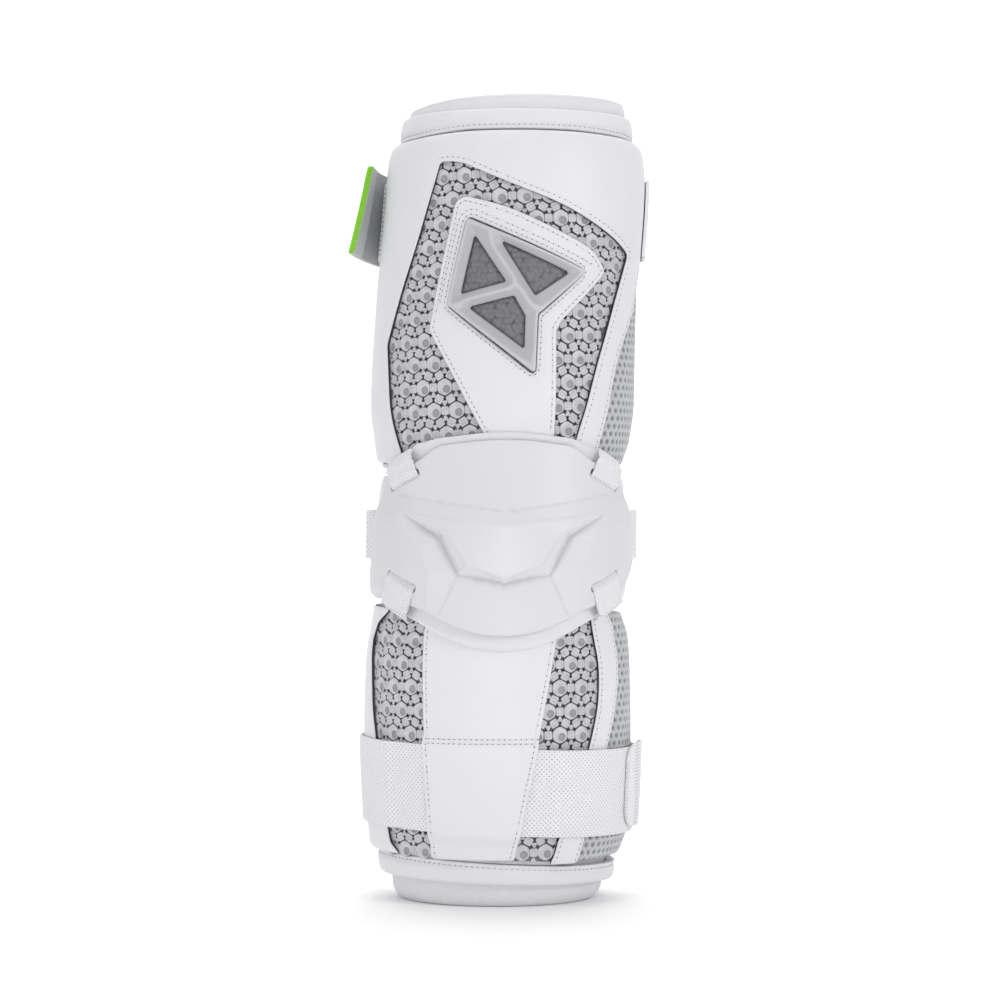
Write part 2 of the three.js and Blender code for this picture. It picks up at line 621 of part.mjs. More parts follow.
function addPiece(name, geometry, finish) {
  geometry.computeVertexNormals();
  const material = new THREE.MeshStandardMaterial({ metalness: 0, flatShading: true, ...finish });
  const mesh = new THREE.Mesh(geometry, material);
  mesh.name = name;
  guard.add(mesh);
}

addPiece("inner_sleeve", innerSleeve(), WHITE);
addPiece("top_ring", topRing(), WHITE);
addPiece("wrist_ring", wristRing(), WHITE);
addPiece("bicep_pad", bicepPad(), GRAY);
addPiece("bicep_cover", bicepCover(), WHITE);
addPiece("bicep_gusset", gusset(BICEP_GUSSET), LIGHT_GRAY);
addPiece("bicep_keel", bicepKeel(), WHITE);
addPiece("truss_mesh", trussMesh(), DARK_GRAY);
addPiece("truss_insert", trussInsert(), LIGHT_GRAY);
addPiece("bicep_strap", strap(BICEP_STRAP, BICEP_STRAP_ROWS), LIGHT_GRAY);
addPiece("pull_tab", pullTab(), LIGHT_GRAY);
addPiece("tab_edge", tabEdge(), GREEN);
addPiece("elbow_pad", elbowPad(), WHITE);
addPiece("cap_flange", capFlange(), WHITE);
addPiece("elbow_cap", elbowCap(), CAP_WHITE);
addPiece("elbow_strap", strap(ELBOW_STRAP, ELBOW_STRAP_ROWS), LIGHT_GRAY);
for (const [place, slot] of Object.entries(CAP_SLOTS)) {
  addPiece(`cap_loop_${place}_left`, capLoop(slot, -1), LIGHT_GRAY);
  addPiece(`cap_loop_${place}_right`, capLoop(slot, 1), LIGHT_GRAY);
}
addPiece("forearm_pad", forearmPad(), GRAY);
addPiece("forearm_cover", forearmCover(), WHITE);
addPiece("forearm_band", forearmBand(), WHITE);
addPiece("forearm_gusset", gusset(FOREARM_GUSSET), LIGHT_GRAY);
addPiece("forearm_tongue", forearmTongue(), WHITE);
addPiece("forearm_strap", strap(FOREARM_STRAP, FOREARM_STRAP_ROWS), WHITE);
addPiece("forearm_strap_end", forearmStrapEnd(), WHITE);

// The origin is the middle of the guard's footprint, on the surface that it stands on
const box = new THREE.Box3().setFromObject(guard);
const middle = box.getCenter(new THREE.Vector3());
guard.position.set(-middle.x, -middle.y, -box.min.z);

export default guard;
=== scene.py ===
"""A left-arm lacrosse guard: covers, pads, straps and an elbow cap, all laid on one arm form.

A place on the guard is a turn round the arm (0 in front, 90 on the +X side), a height above the
wrist end and a level above the sleeve's outside. Unrolled, turns and heights are flat millimetres.
"""

import math

import bpy
import numpy as np
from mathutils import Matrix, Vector, geometry, noise
from mathutils.bvhtree import BVHTree


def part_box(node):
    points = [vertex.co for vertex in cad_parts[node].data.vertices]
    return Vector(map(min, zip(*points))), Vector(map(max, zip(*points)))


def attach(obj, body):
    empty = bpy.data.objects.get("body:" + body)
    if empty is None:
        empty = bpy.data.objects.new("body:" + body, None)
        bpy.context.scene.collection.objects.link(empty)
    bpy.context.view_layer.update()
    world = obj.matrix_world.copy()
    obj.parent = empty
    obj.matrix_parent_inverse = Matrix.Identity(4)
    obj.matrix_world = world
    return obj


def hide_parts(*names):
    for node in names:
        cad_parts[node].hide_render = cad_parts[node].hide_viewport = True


bl_info = {
    "name": "Lacrosse arm guard",
    "version": (1, 0, 0),
    "blender": (4, 5, 0),
    "location": "View3D > Sidebar > Arm guard",
    "description": "Dresses a left-arm lacrosse guard around its packed frame",
    "category": "Add Mesh",
}

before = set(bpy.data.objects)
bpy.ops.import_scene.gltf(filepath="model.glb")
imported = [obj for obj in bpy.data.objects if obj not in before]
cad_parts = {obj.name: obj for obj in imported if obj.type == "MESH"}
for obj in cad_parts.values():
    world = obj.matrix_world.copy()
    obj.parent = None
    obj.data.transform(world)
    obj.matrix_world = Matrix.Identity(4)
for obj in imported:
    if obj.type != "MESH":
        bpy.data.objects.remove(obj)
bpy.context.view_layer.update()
BODY = "root"
MM = 0.001

# The arm form, in millimetres, and the layers on it
LENGTH = 400.0
HALF_WIDTH = 58.0
SECTION_SIZES = np.array([9.0, HALF_WIDTH, 49.0, 44.0, 15.0])
GAP = 0.4
SLEEVE_WALL = 2.5
PAD_THICKNESS = 6.6
LEATHER = 2.0
RING_THICKNESS = 5.4
GUSSET_CROWN = 2.0
MESH_THICKNESS = 0.8
WEBBING = 1.8
FLANGE_THICKNESS = 2.2
FLANGE_MARGIN = 3.6
FLANGE_CHIN_MARGIN = 7.0
FLANGE_SHOULDERS = (5.0, 3.0)
ON_SLEEVE = GAP
PAD_TOP = ON_SLEEVE + PAD_THICKNESS
ON_PAD = PAD_TOP + GAP
COVER_TOP = ON_PAD + LEATHER
ON_COVER = COVER_TOP + GAP
FLANGE_TOP = ON_COVER + FLANGE_THICKNESS
ON_STRAP = ON_COVER + WEBBING + GAP
ARC = math.radians(HALF_WIDTH + COVER_TOP)
FACET = 12

CAP_BASE = 134.0
CAP_HEIGHT = 96.0
CAP_TURN = 1.5
CAP_WALL = 2.6
CAP_BULGE = 7.5
CAP_EDGE = FLANGE_TOP + GAP + CAP_WALL
LOOP_WIDTH = 19.0
LOOP_THICKNESS = 0.9
SLOT_WIDTH = 4.0

# The sleeve's sections: height, sideways lean, width, front and back depth and forward bend, each
# as a share of LENGTH and of SECTION_SIZES
SECTIONS = np.array([
    (0, -0.17, 0.862, 0.837, 0.886, 0.13),
    (0.03, -0.17, 0.914, 0.898, 0.932, 0.1),
    (0.1, -0.11, 0.974, 0.959, 0.977, -0.07),
    (0.2125, -0.11, 1, 1, 1, -0.4),
    (0.3, -0.09, 0.983, 0.99, 1, -0.7),
    (0.375, 0, 0.922, 0.949, 0.977, -0.9),
    (0.455, 0.06, 0.905, 0.939, 0.977, -1),
    (0.535, 0.11, 0.914, 0.949, 0.977, -0.9),
    (0.625, 0.17, 0.983, 1, 1, -0.63),
    (0.75, 0.39, 0.974, 1, 1, -0.2),
    (0.9, 0.89, 0.966, 0.98, 0.977, 0.23),
    (0.9625, 0.94, 0.914, 0.939, 0.955, 0.4),
    (1, 1, 0.879, 0.898, 0.932, 0.47),
])

# Outlines on the arm: turn in degrees, height as a share of LENGTH
BICEP_WINDOW = [
    (-50, 0.538), (-56.8, 0.586), (-59.9, 0.647), (-62.9, 0.691), (-58.4, 0.7215), (-47.5, 0.8),
    (-41, 0.867), (-36, 0.914), (-26, 0.9135), (-0.5, 0.883), (21, 0.861), (38, 0.839), (55, 0.817),
    (64, 0.8035), (62, 0.79), (54.5, 0.7395), (42.7, 0.652), (35, 0.5755), (32, 0.538),
]
BICEP_COVER_EDGE = [
    (47, 0.538), (48.7, 0.57), (57.7, 0.678), (75, 0.738), (79, 0.76), (83, 0.785), (118, 0.79),
    (118, 0.944), (66, 0.949), (25, 0.952), (-25, 0.952), (-58, 0.947), (-118, 0.944), (-118, 0.538),
]
BICEP_PAD_EDGE = [
    (39, 0.54), (46.5, 0.652), (58.5, 0.7395), (65.5, 0.766), (71, 0.794), (115.5, 0.794),
    (115.5, 0.938), (66, 0.943), (-58, 0.941), (-115.5, 0.938), (-115.5, 0.54),
]
BICEP_GUSSET = [
    (40, 0.54), (41.5, 0.57), (49.5, 0.67), (62, 0.738), (66.5, 0.763), (72, 0.79), (116, 0.79),
    (119, 0.75), (120, 0.71), (121, 0.66), (121, 0.58), (117, 0.545),
]
BICEP_GUSSET_SHOWS = [
    (47, 0.54), (48.7, 0.57), (57.7, 0.678), (75, 0.738), (79, 0.76), (83, 0.785), (90, 0.8),
]
KEEL_EDGE = [
    (0, 0.54), (23.4, 0.54), (23.2, 0.66), (22.4, 0.7055), (24.8, 0.718), (44.7, 0.772),
    (46.4, 0.7815), (39.1, 0.805), (18.5, 0.8305), (-4.1, 0.8575), (-22.2, 0.87), (-26.9, 0.864),
    (-31.7, 0.767), (-35, 0.7065), (-20.9, 0.6445), (-9.3, 0.584),
]
TRUSS_EDGE = [(-26.2, 0.736), (13.6, 0.65), (13.7, 0.724), (35.3, 0.7785), (-20.2, 0.844)]
TRUSS_WINDOWS = [
    [(-20.5, 0.749), (-0.6, 0.764), (-16.4, 0.8225)],
    [(12.2, 0.747), (27.4, 0.776), (-4.9, 0.815)],
    [(-16.7, 0.733), (8.5, 0.6815), (8.4, 0.7225), (3, 0.747)],
]
FOREARM_COVER_INNER = [
    (-49.6, 0.0645), (-56.3, 0.078), (-57.9, 0.1), (-66.1, 0.2135), (-69.5, 0.24), (-72.5, 0.29),
    (-75.4, 0.329), (-71.6, 0.349), (-58.3, 0.368),
]
FOREARM_BAND_INNER = [
    (24.3, 0.0555), (26.3, 0.0665), (27.7, 0.086), (43.1, 0.2), (48.6, 0.2535), (49, 0.298),
    (46.6, 0.33), (45, 0.368),
]
FOREARM_BAND_OUTER = [
    (55.3, 0.368), (61.2, 0.348), (63.9, 0.291), (61.3, 0.252), (54, 0.198), (41.5, 0.086),
    (38.6, 0.055),
]
FOREARM_SEAM = [
    (31.5, 0.056), (34.5, 0.086), (48.5, 0.2), (55, 0.2535), (56.5, 0.295), (53.5, 0.34),
    (49.5, 0.366),
]
FOREARM_GUSSET_BACK = [
    (112, 0.358), (117, 0.335), (121, 0.291), (122, 0.252), (122, 0.198), (121, 0.086), (118, 0.058),
]
ELBOW_PAD_EDGE = [
    (-84, 0.4), (-80, 0.378), (82, 0.378), (86, 0.4), (86, 0.51), (80, 0.53), (-78, 0.53), (-84, 0.51),
]
COVER_CORNER, COVER_TOP_LINE = (-36, 0.914), BICEP_COVER_EDGE[12:6:-1]
TOP_RING = {"low": 0.9545, "high": 0.98}
# How far the collar's edge lies below the full length: turn, millimetres
COLLAR_DROP = [(-180, 2), (-100, 4), (-65, 3.4), (-35, 1.2), (0, 0.2), (45, 0), (120, 0), (180, 2)]
# The lining's rolled ends: height, level
COLLAR_ROOT = [(384, 0.3), (388, 0.8), (390, 1.3)]
COLLAR_ROLL = [(391.6, 2.2), (393, 2.7), (396, 2.8), (397.6, 2.6), (398, 2.35), (398.4, 2.5),
               (399.2, 2.3), (399.8, 1.6)]
FOOT_ROLL = [(10, -2.7), (5, -3.6), (2, -4.3), (0.4, -3.9), (0, -2.9), (0.4, -1.7), (1.4, -0.6),
             (3, 0.3), (5.2, 0.8), (7, 0.7)]
WRIST_RING = {"low": 0.0295, "high": 0.0555, "low_slope": 0.0045, "high_slope": 0.0085}
TONGUE = {"left": (-31, -35.3), "right": (7.5, 27.5), "top": 0.354, "ramp": 6.0, "seams": (84.4, 82.3)}
COVER_SIDE, PAD_SIDE = (-118, 0.37), (-115, 0.366)

# Straps: the middle height of each, its width, how far it rises from the +X to the -X side, and the
# level of its inside by turn
STRAPS = {
    "bicep_strap": (341.0, 41.0, 0, [
        (86, ON_COVER), (119, ON_COVER), (150, ON_SLEEVE), (210, ON_SLEEVE), (241, ON_COVER),
        (262, ON_COVER),
    ]),
    "elbow_strap": (183.0, 24.0, 0, [
        (81.5, ON_COVER), (89, ON_COVER + 3.4), (101, ON_COVER + 3.4), (135, ON_SLEEVE),
        (225, ON_SLEEVE), (259, ON_COVER + 3.4), (271, ON_COVER + 3.4), (278.5, ON_COVER),
    ]),
    "forearm_strap": (58.5, 43.0, 2.6, [
        (-180, ON_SLEEVE), (-152, ON_SLEEVE), (-120, ON_COVER), (-55, ON_COVER), (-49, ON_PAD),
        (20, ON_PAD), (26, ON_COVER), (124, ON_COVER), (152, ON_SLEEVE), (180, ON_SLEEVE),
    ]),
    "forearm_strap_end": (58.5, 42.0, 0, [(66, ON_STRAP), (82, ON_STRAP + 0.8), (98, ON_STRAP)]),
}
TAB = {"from": -106, "to": -86, "low": 0.7975, "high": 0.9125, "rise": 0.0125, "flare": 11.0}
TAB_TOP_SHARE = {"rise": 0.6, "flare": 0.45}
TAB_THICKNESS = 2.2
STRAP_CORNER = 3.0

# Seams: distance from the edge that a seam follows, and between its stitches, in millimetres
RING_SEAM, WRIST_SEAM, BAND_SEAM, OUTER_KEEL_SEAM, LOOP_SEAM = 2.5, 1.9, 1.8, 2.5, 2.0
RING_PITCH, COVER_PITCH, KEEL_PITCH, LOOP_PITCH = 2.8, 3.0, 2.7, 2.0

# Leather, in millimetres: how it rolls in at the hem, swells, is pressed by seams and puckers
HEM_ROLL, HEM_RADIUS = 0.7, 2.2
SWELL_RISE, SWELL_SIZE = 0.12, 22
PRESS_DEPTH, PRESS_REACH = 0.28, 0.8
PUCKER_RISE, PUCKER_REACH, PUCKER_UP = 0.25, 5, 0.944
TOP_ROLL, TOP_ROLL_RADIUS, TOP_ROLL_MOST = 0.45, 6.0, 1.2

# The truss's ridges and the mesh's bubbles, in millimetres
TRUSS_LIP, TRUSS_RIDGE = 0.7, 2.5
BUBBLE_ACROSS, BUBBLE_UP, BUBBLE_ASIDE, BUBBLE_RADIUS = 2.9, 2.5, 0.6, 1.9

# Staggered rows, as shares of a pitch: a dimple's radius, and how far each row is from the last
DIMPLE_RADIUS, ROW_SHARE = 0.27, 0.866

# The lattice's cells, in millimetres: sides, spin, share of a side that a corner takes, how far the
# pressed line lies inside, and how near the pad's edge a cell may be
CELLS = {
    "Hexagon": (6, math.pi / 6, 0.2, 0, 2.4),
    "Square": (4, math.pi / 4, 0.15, 1.2, 1.5),
    "Triangle": (3, math.pi / 2, 0.1, 0.75, 1.2),
}
CELL_GAP = 0.25

# The cap's facets, one half: turn from its middle, share of CAP_HEIGHT and share of CAP_BULGE
CAP_POINTS = {
    "crown": (0, 1, 0), "crown_side": (30, 0.958, 0), "crown_corner": (37, 0.896, 0),
    "shoulder": (56, 0.802, 0), "temple_top": (63, 0.698, 0), "temple_upper": (71.5, 0.594, 0),
    "temple_lower": (75, 0.385, 0), "temple_base": (66, 0.276, 0), "hip": (58, 0.193, 0),
    "chin_side": (36, 0.135, 0), "chin_lower": (28, 0.089, 0), "chin_mid": (14.5, 0.024, 0),
    "chin": (0, 0, 0),
    "brow_top": (0, 0.629, 0.62), "brow_end": (47, 0.714, 0.17), "brow_low": (0, 0.559, 1.0),
    "brow_low_end": (46, 0.629, 0.42), "shield_shoulder": (21.8, 0.522, 0.95),
    "shield_corner": (14.4, 0.366, 1.0), "shield_tip": (0, 0.301, 0.97),
    "valley_shoulder": (27.4, 0.505, 0.42), "valley_corner": (18.8, 0.312, 0.36),
    "valley_foot": (27.6, 0.106, 0.02), "channel_tip": (0, 0.272, 0.42),
    "wing_top": (60, 0.604, 0.2), "wing_upper": (51, 0.552, 0.5), "wing_shoulder": (35.5, 0.454, 0.8),
    "wing_elbow": (30.6, 0.323, 0.78), "wing_foot": (32.3, 0.154, 0.26),
}
CAP_RIM = [
    "crown", "crown_side", "crown_corner", "shoulder", "temple_top", "temple_upper", "temple_lower",
    "temple_base", "hip", "chin_side", "chin_lower", "chin_mid", "chin",
]
CAP_CREASES = [
    ["temple_top", "brow_end", "brow_top"],
    ["brow_end", "brow_low_end", "brow_low"],
    ["temple_upper", "wing_top", "brow_low_end"],
    ["brow_low_end", "shield_shoulder", "shield_corner", "shield_tip"],
    ["brow_low_end", "valley_shoulder", "valley_corner", "channel_tip"],
    ["wing_top", "wing_upper", "wing_shoulder", "wing_elbow", "wing_foot"],
    ["wing_foot", "chin_side"],
    ["valley_corner", "valley_foot", "chin_lower"],
    ["shield_shoulder", "valley_shoulder", "wing_shoulder"],
    ["shield_corner", "valley_corner", "wing_elbow"],
    ["valley_foot", "wing_foot"],
]
# Slots for the elastic loops: turn, share of CAP_HEIGHT, tilt, which way the loop leaves, the bar
# that it crosses and how far it runs
CAP_SLOTS = {
    "upper": {"turn": 46.5, "up": 0.787, "tilt": -22, "way": 1, "bar": 6.5, "reach": 13.0},
    "lower": {"turn": 46.4, "up": 0.28, "tilt": 20.5, "way": -1, "bar": 13.0, "reach": 17.0},
}

# The studio's lights: place and diameter in metres, power in watts
LIGHTS = {
    "key": ((1.05, -0.95, 0.7), 0.4, 4.4), "top": ((-0.1, -0.75, 1.5), 0.5, 2.4),
    "left": ((-1.3, -0.7, 0.25), 1.2, 4.2), "low": ((0.1, -1.3, 0.1), 0.16, 2.8),
    "paper": ((0, 0.9, 1.9), 2.4, 28.0),
}

# How finely outlines and sheets are cut, in millimetres
EDGE_STEP = 1.2
SHEET_STEP = 2.6
SHALLOW = math.radians(30)


def linear(code):
    """A #RRGGBB colour as linear RGBA."""
    parts = [int(code[i:i + 2], 16) / 255 for i in (1, 3, 5)]
    return (*(p / 12.92 if p <= 0.04045 else ((p + 0.055) / 1.055) ** 2.4 for p in parts), 1.0)


def size(name, about, default, low=0.0, high=0.05):
    """A length of the guard that a user may change, in metres."""
    return bpy.props.FloatProperty(
        name=name, description=about, default=default, min=low, max=high, unit="LENGTH", precision=5)


def colour(name, about, code):
    """A colour of the guard that a user may change."""
    return bpy.props.FloatVectorProperty(
        name=name, description=about, default=linear(code), size=4, min=0, max=1, subtype="COLOR")


class GuardSizes(bpy.types.PropertyGroup):
    """Sizes of the finish that lies on the frame's layers."""
    cut_edge: size("Cut edge", "Radius of the rounded edge of a leather piece", 0.0007)
    stitch_pitch: size("Stitch pitch", "Distance between the stitch holes of a seam", 0.0027, 0.001)
    stitch_inset: size("Stitch inset", "Distance of a seam from the edge of its piece", 0.0023, 0.001)
    seam_gap: size("Seam gap", "Distance between the two rows of a double seam", 0.0022, 0.001)
    cell_pitch: size("Cell pitch", "Distance between the hexagons of the moulded lattice", 0.0133, 0.006)
    cell_depth: size("Cell depth", "Depth of the grooves between the lattice's cells", 0.0013)
    dimple_pitch: size("Dimple pitch", "Distance between the dimples of a side gusset", 0.0044, 0.002)
    dimple_depth: size("Dimple depth", "Depth of a dimple in a side gusset", 0.0007)


class GuardColours(bpy.types.PropertyGroup):
    """Colours of the guard's finishes."""
    leather: colour("Leather", "White synthetic leather", "#D6D6DA")
    shell: colour("Shell", "White elbow cap", "#CECED1")
    lattice: colour("Lattice", "Tops of the moulded lattice cells", "#BDBDC0")
    # Painted shade in the lattice's grooves and dimples
    lattice_deep: colour("Lattice grooves", "Grooves and dimples of the lattice", "#626366")
    gusset: colour("Gusset", "Grey side gussets", "#B7B8BB")
    # Painted shade inside the gussets' dimples
    gusset_deep: colour("Gusset dimples", "Dimples of the side gussets", "#77787C")
    truss: colour("Truss", "Moulded frame on the upper arm", "#BABABD")
    mesh: colour("Mesh", "Bubbly mesh behind the truss", "#6E6F72")
    webbing: colour("Webbing", "Woven straps and loops", "#DCDCDF")
    edging: colour("Edging", "Woven edge of the pull tab", "#7BC222")
    label: colour("Label", "Strip beside the edging", "#C9CACD")
    pile: colour("Pile", "Fuzzy side of the pull tab", "#8B8C90")
    thread: colour("Thread", "Seam thread", "#CFCFD3")
    # The dark cut edge is partly the foam backing and partly painted shade along the window edges
    backing: colour("Backing", "Dark foam in a leather's cut edge", "#2E2F31")


# Lengths on the unrolled arm

def hermite(a, b, leaving, arriving, t):
    """A smooth value from a to b, with the slopes at which it leaves and arrives."""
    square, cube = t * t, t * t * t
    return (a * (2 * cube - 3 * square + 1) + leaving * (cube - 2 * square + t)
            + b * (3 * square - 2 * cube) + arriving * (cube - square))


def section_slopes():
    """The slope of each measure at each section, without overshoot."""
    chords = np.diff(SECTIONS[:, 1:], axis=0) / np.diff(SECTIONS[:, 0])[:, None]
    before, after = np.vstack([chords[:1], chords]), np.vstack([chords, chords[-1:]])
    same_way = before * after > 0
    return np.where(same_way, 2 * before * after / np.where(same_way, before + after, 1), 0)


SLOPES = section_slopes()


def arm_points(turns, heights, levels):
    """Places on the arm in millimetres, before the frame's shift."""
    turns, heights, levels = np.broadcast_arrays(*(np.asarray(v, float) for v in (turns, heights, levels)))
    up = np.clip(heights / LENGTH, 0, 1)
    row = np.clip(np.searchsorted(SECTIONS[:, 0], up, side="right") - 1, 0, len(SECTIONS) - 2)
    span = (SECTIONS[row + 1, 0] - SECTIONS[row, 0])[:, None]
    t = (up - SECTIONS[row, 0])[:, None] / span
    rows = hermite(SECTIONS[row, 1:], SECTIONS[row + 1, 1:], SLOPES[row] * span, SLOPES[row + 1] * span, t)
    lean, width, front, back, bend = (rows * SECTION_SIZES).T
    angle = np.radians(turns)
    depth = np.where(np.cos(angle) >= 0, front, back)
    out = np.stack([depth * np.sin(angle), -width * np.cos(angle)], axis=1)
    out /= np.hypot(*out.T)[:, None]
    return np.stack([lean + width * np.sin(angle) + out[:, 0] * levels,
                     bend - depth * np.cos(angle) + out[:, 1] * levels, heights], axis=1)


def frame_shift():
    """What moves the arm form onto the frame: their sleeves' lowest corners meet."""
    turns, rows = np.meshgrid(np.arange(-180, 180, FACET), np.linspace(0, LENGTH, 13))
    form = arm_points(turns.ravel(), rows.ravel(), 0)
    lowest = np.array(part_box("inner_sleeve")[0]) / MM
    return np.array([*(lowest - form.min(axis=0))[:2], 0])


SHIFT = frame_shift()


def placed(flat_points, levels):
    """Flat millimetres and levels as places in metres."""
    return (arm_points(flat_points[:, 0] / ARC, flat_points[:, 1], levels) + SHIFT) * MM


def flat(outline):
    """Turns and shares of LENGTH as flat millimetres."""
    return np.array([(turn * ARC, up * LENGTH) for turn, up in outline])


def evened(path, step, closed=True):
    """The same path with its points a step apart."""
    path = np.asarray(path, float)
    if closed:
        path = np.vstack([path, path[:1]])
    run = np.concatenate([[0], np.cumsum(np.hypot(*np.diff(path, axis=0).T))])
    places = np.linspace(0, run[-1], max(3, round(run[-1] / step)) + 1)
    even = np.stack([np.interp(places, run, path[:, k]) for k in (0, 1)], axis=1)
    return even[:-1] if closed else even


def rounded(corners, radius, closed=True, step=EDGE_STEP):
    """A path through its corners: shallow ones join into one curve, sharp ones get the radius."""
    corners = np.asarray(corners, float)
    path = []
    for i, corner in enumerate(corners):
        if not closed and i in (0, len(corners) - 1):
            path.append(corner)
            continue
        arms = [corners[i - 1] - corner, corners[(i + 1) % len(corners)] - corner]
        sizes = [math.hypot(*arm) for arm in arms]
        ways = [arm / length for arm, length in zip(arms, sizes)]
        bend = math.pi - math.acos(np.clip(ways[0] @ ways[1], -1, 1))
        reach = 0.5 * min(sizes)
        if bend > SHALLOW:
            reach = min(radius * math.tan(bend / 2), 0.9 * reach)
        start, end = (corner + way * reach for way in ways)
        path += [(1 - t) ** 2 * start + 2 * t * (1 - t) * corner + t * t * end
                 for t in np.linspace(0, 1, 9)]
    return evened(path, step, closed)


def moved(path, distance, closed=True):
    """A path moved to its left."""
    way = np.roll(path, -1, 0) - np.roll(path, 1, 0) if closed else np.gradient(path, axis=0)
    way /= np.hypot(*way.T)[:, None]
    return path + distance * np.stack([-way[:, 1], way[:, 0]], axis=1)


def wound(loop, left=True):
    """A loop whose inside is on its left, or on its right."""
    x, y = loop.T
    area = (x * np.roll(y, -1) - np.roll(x, -1) * y).sum()
    return loop if (area > 0) == left else loop[::-1]


def depth_in(points, starts, ends):
    """The distance from each point to the nearest edge."""
    way = ends - starts
    long = (way ** 2).sum(axis=1)
    depth = np.zeros(len(points))
    for some in np.array_split(np.arange(len(points)), max(1, len(points) // 1500)):
        to = points[some, None] - starts
        share = np.clip((to * way).sum(axis=2) / long, 0, 1)
        depth[some] = np.sqrt(((to - share[..., None] * way) ** 2).sum(axis=2).min(axis=1))
    return depth


def inside(points, starts, ends):
    """Which points lie within closed loops of edges."""
    within = np.zeros(len(points), bool)
    for (ax, ay), (bx, by) in zip(starts, ends):
        if ay != by:
            spans = (ay > points[:, 1]) != (by > points[:, 1])
            within ^= spans & (points[:, 0] < (bx - ax) * (points[:, 1] - ay) / (by - ay) + ax)
    return within


class Sheet:
    """Flat triangles inside an outline: rows along its edges, then an even grid."""

    def __init__(self, outline, holes=(), step=SHEET_STEP, rows=(0.25, 0.6, 1.2), lines=(), beside=0):
        loops = [wound(outline), *(wound(hole, left=False) for hole in holes)]
        starts = np.vstack(loops)
        ends = np.vstack([np.roll(loop, -1, 0) for loop in loops])
        low, high = starts.min(axis=0), starts.max(axis=0)
        columns = np.arange(low[0], high[0], step)
        heights = np.arange(low[1], high[1], step * ROW_SHARE)
        x, y = np.meshgrid(columns, heights)
        x = x + (np.arange(len(heights)) % 2)[:, None] * step / 2
        free = [np.stack([x.ravel(), y.ravel()], axis=1)]
        least = [np.full(x.size, (rows[-1] if rows else 0) + 0.45 * step)]
        for row in rows:
            for loop in loops:
                free.append(moved(loop, row))
                least.append(np.full(len(loop), 0.9 * row))
        free, least = np.vstack(free), np.concatenate(least)
        keep = inside(free, starts, ends) & (depth_in(free, starts, ends) > least)
        free = free[keep]
        points, edges, start = list(loops), [], 0
        for path, closed in [*((loop, True) for loop in loops), *((line, False) for line in lines)]:
            count = len(path)
            edges += [(start + i, start + (i + 1) % count) for i in range(count if closed else count - 1)]
            start += count
        points += list(lines)
        if lines:
            line_starts = np.vstack([line[:-1] for line in lines])
            line_ends = np.vstack([line[1:] for line in lines])
            free = free[depth_in(free, line_starts, line_ends) > beside + 0.4 * step]
            near = np.vstack([moved(line, way, closed=False)[1:-1]
                              for line in lines for way in (beside, -beside)])
            keep = depth_in(near, line_starts, line_ends) > 0.9 * beside
            keep &= inside(near, starts, ends) & (depth_in(near, starts, ends) > beside)
            free = np.vstack([free, near[keep]])
        self.given = np.vstack([*points, free])
        found = geometry.delaunay_2d_cdt([Vector(p) for p in self.given], edges, [], 0, 1e-4)
        points = np.array([tuple(v) for v in found[0]])
        faces = np.array([face[:3] for face in found[2]])
        centres = points[faces].mean(axis=1)
        faces = faces[inside(centres, starts, ends)]
        a, b, c = (points[faces[:, k]] for k in range(3))
        turned = (b[:, 0] - a[:, 0]) * (c[:, 1] - a[:, 1]) - (b[:, 1] - a[:, 1]) * (c[:, 0] - a[:, 0]) < 0
        faces[turned] = faces[turned][:, ::-1]
        used = np.unique(faces)
        self.points = points[used]
        self.faces = np.searchsorted(used, faces)
        self.sources = [found[3][i] for i in used]
        self.depth = depth_in(self.points, starts, ends)
        self.area = 0.5 * sum(abs(float(np.cross(b - a, c - a))) for a, b, c in points[faces])

    def rim(self):
        """The edges that only one face has."""
        sides = {(int(face[i]), int(face[(i + 1) % 3])) for face in self.faces for i in range(3)}
        return [(a, b) for a, b in sides if (b, a) not in sides]


def edge_drop(depth, radius):
    """How far a rounded edge falls below its face, at a distance from the edge."""
    short = 1 - np.minimum(depth, radius) / radius
    return radius * (1 - np.sqrt(np.maximum(0, 1 - short ** 2)))


def eased(x, rows):
    """The value of a table at x, with an even ease between its rows."""
    xs, ys = (np.array(column, float) for column in zip(*rows))
    i = np.clip(np.searchsorted(xs, x, side="right") - 1, 0, len(xs) - 2)
    t = np.clip((x - xs[i]) / (xs[i + 1] - xs[i]), 0, 1)
    return ys[i] + (ys[i + 1] - ys[i]) * t * t * (3 - 2 * t)


def uneven(places, size_mm, seed):
    """Smooth noise from -1 to 1 at flat places, one swell per size."""
    return np.array([noise.noise(Vector((x / size_mm, y / size_mm, seed))) for x, y in places])


# Meshes and pieces

def set_flat_map(mesh, flat_points):
    """A UV map of flat metres, so that patterns follow the surface."""
    corners = np.zeros(len(mesh.loops), np.int32)
    mesh.loops.foreach_get("vertex_index", corners)
    layer = mesh.uv_layers.new(name="flat")
    layer.data.foreach_set("uv", (flat_points[corners] * MM).astype(np.float32).ravel())


def set_shade(mesh, shade):
    """How deep each point lies in a pattern, from 0 on its tops to 1."""
    layer = mesh.attributes.new("depth", "FLOAT", "POINT")
    layer.data.foreach_set("value", np.asarray(shade, np.float32))


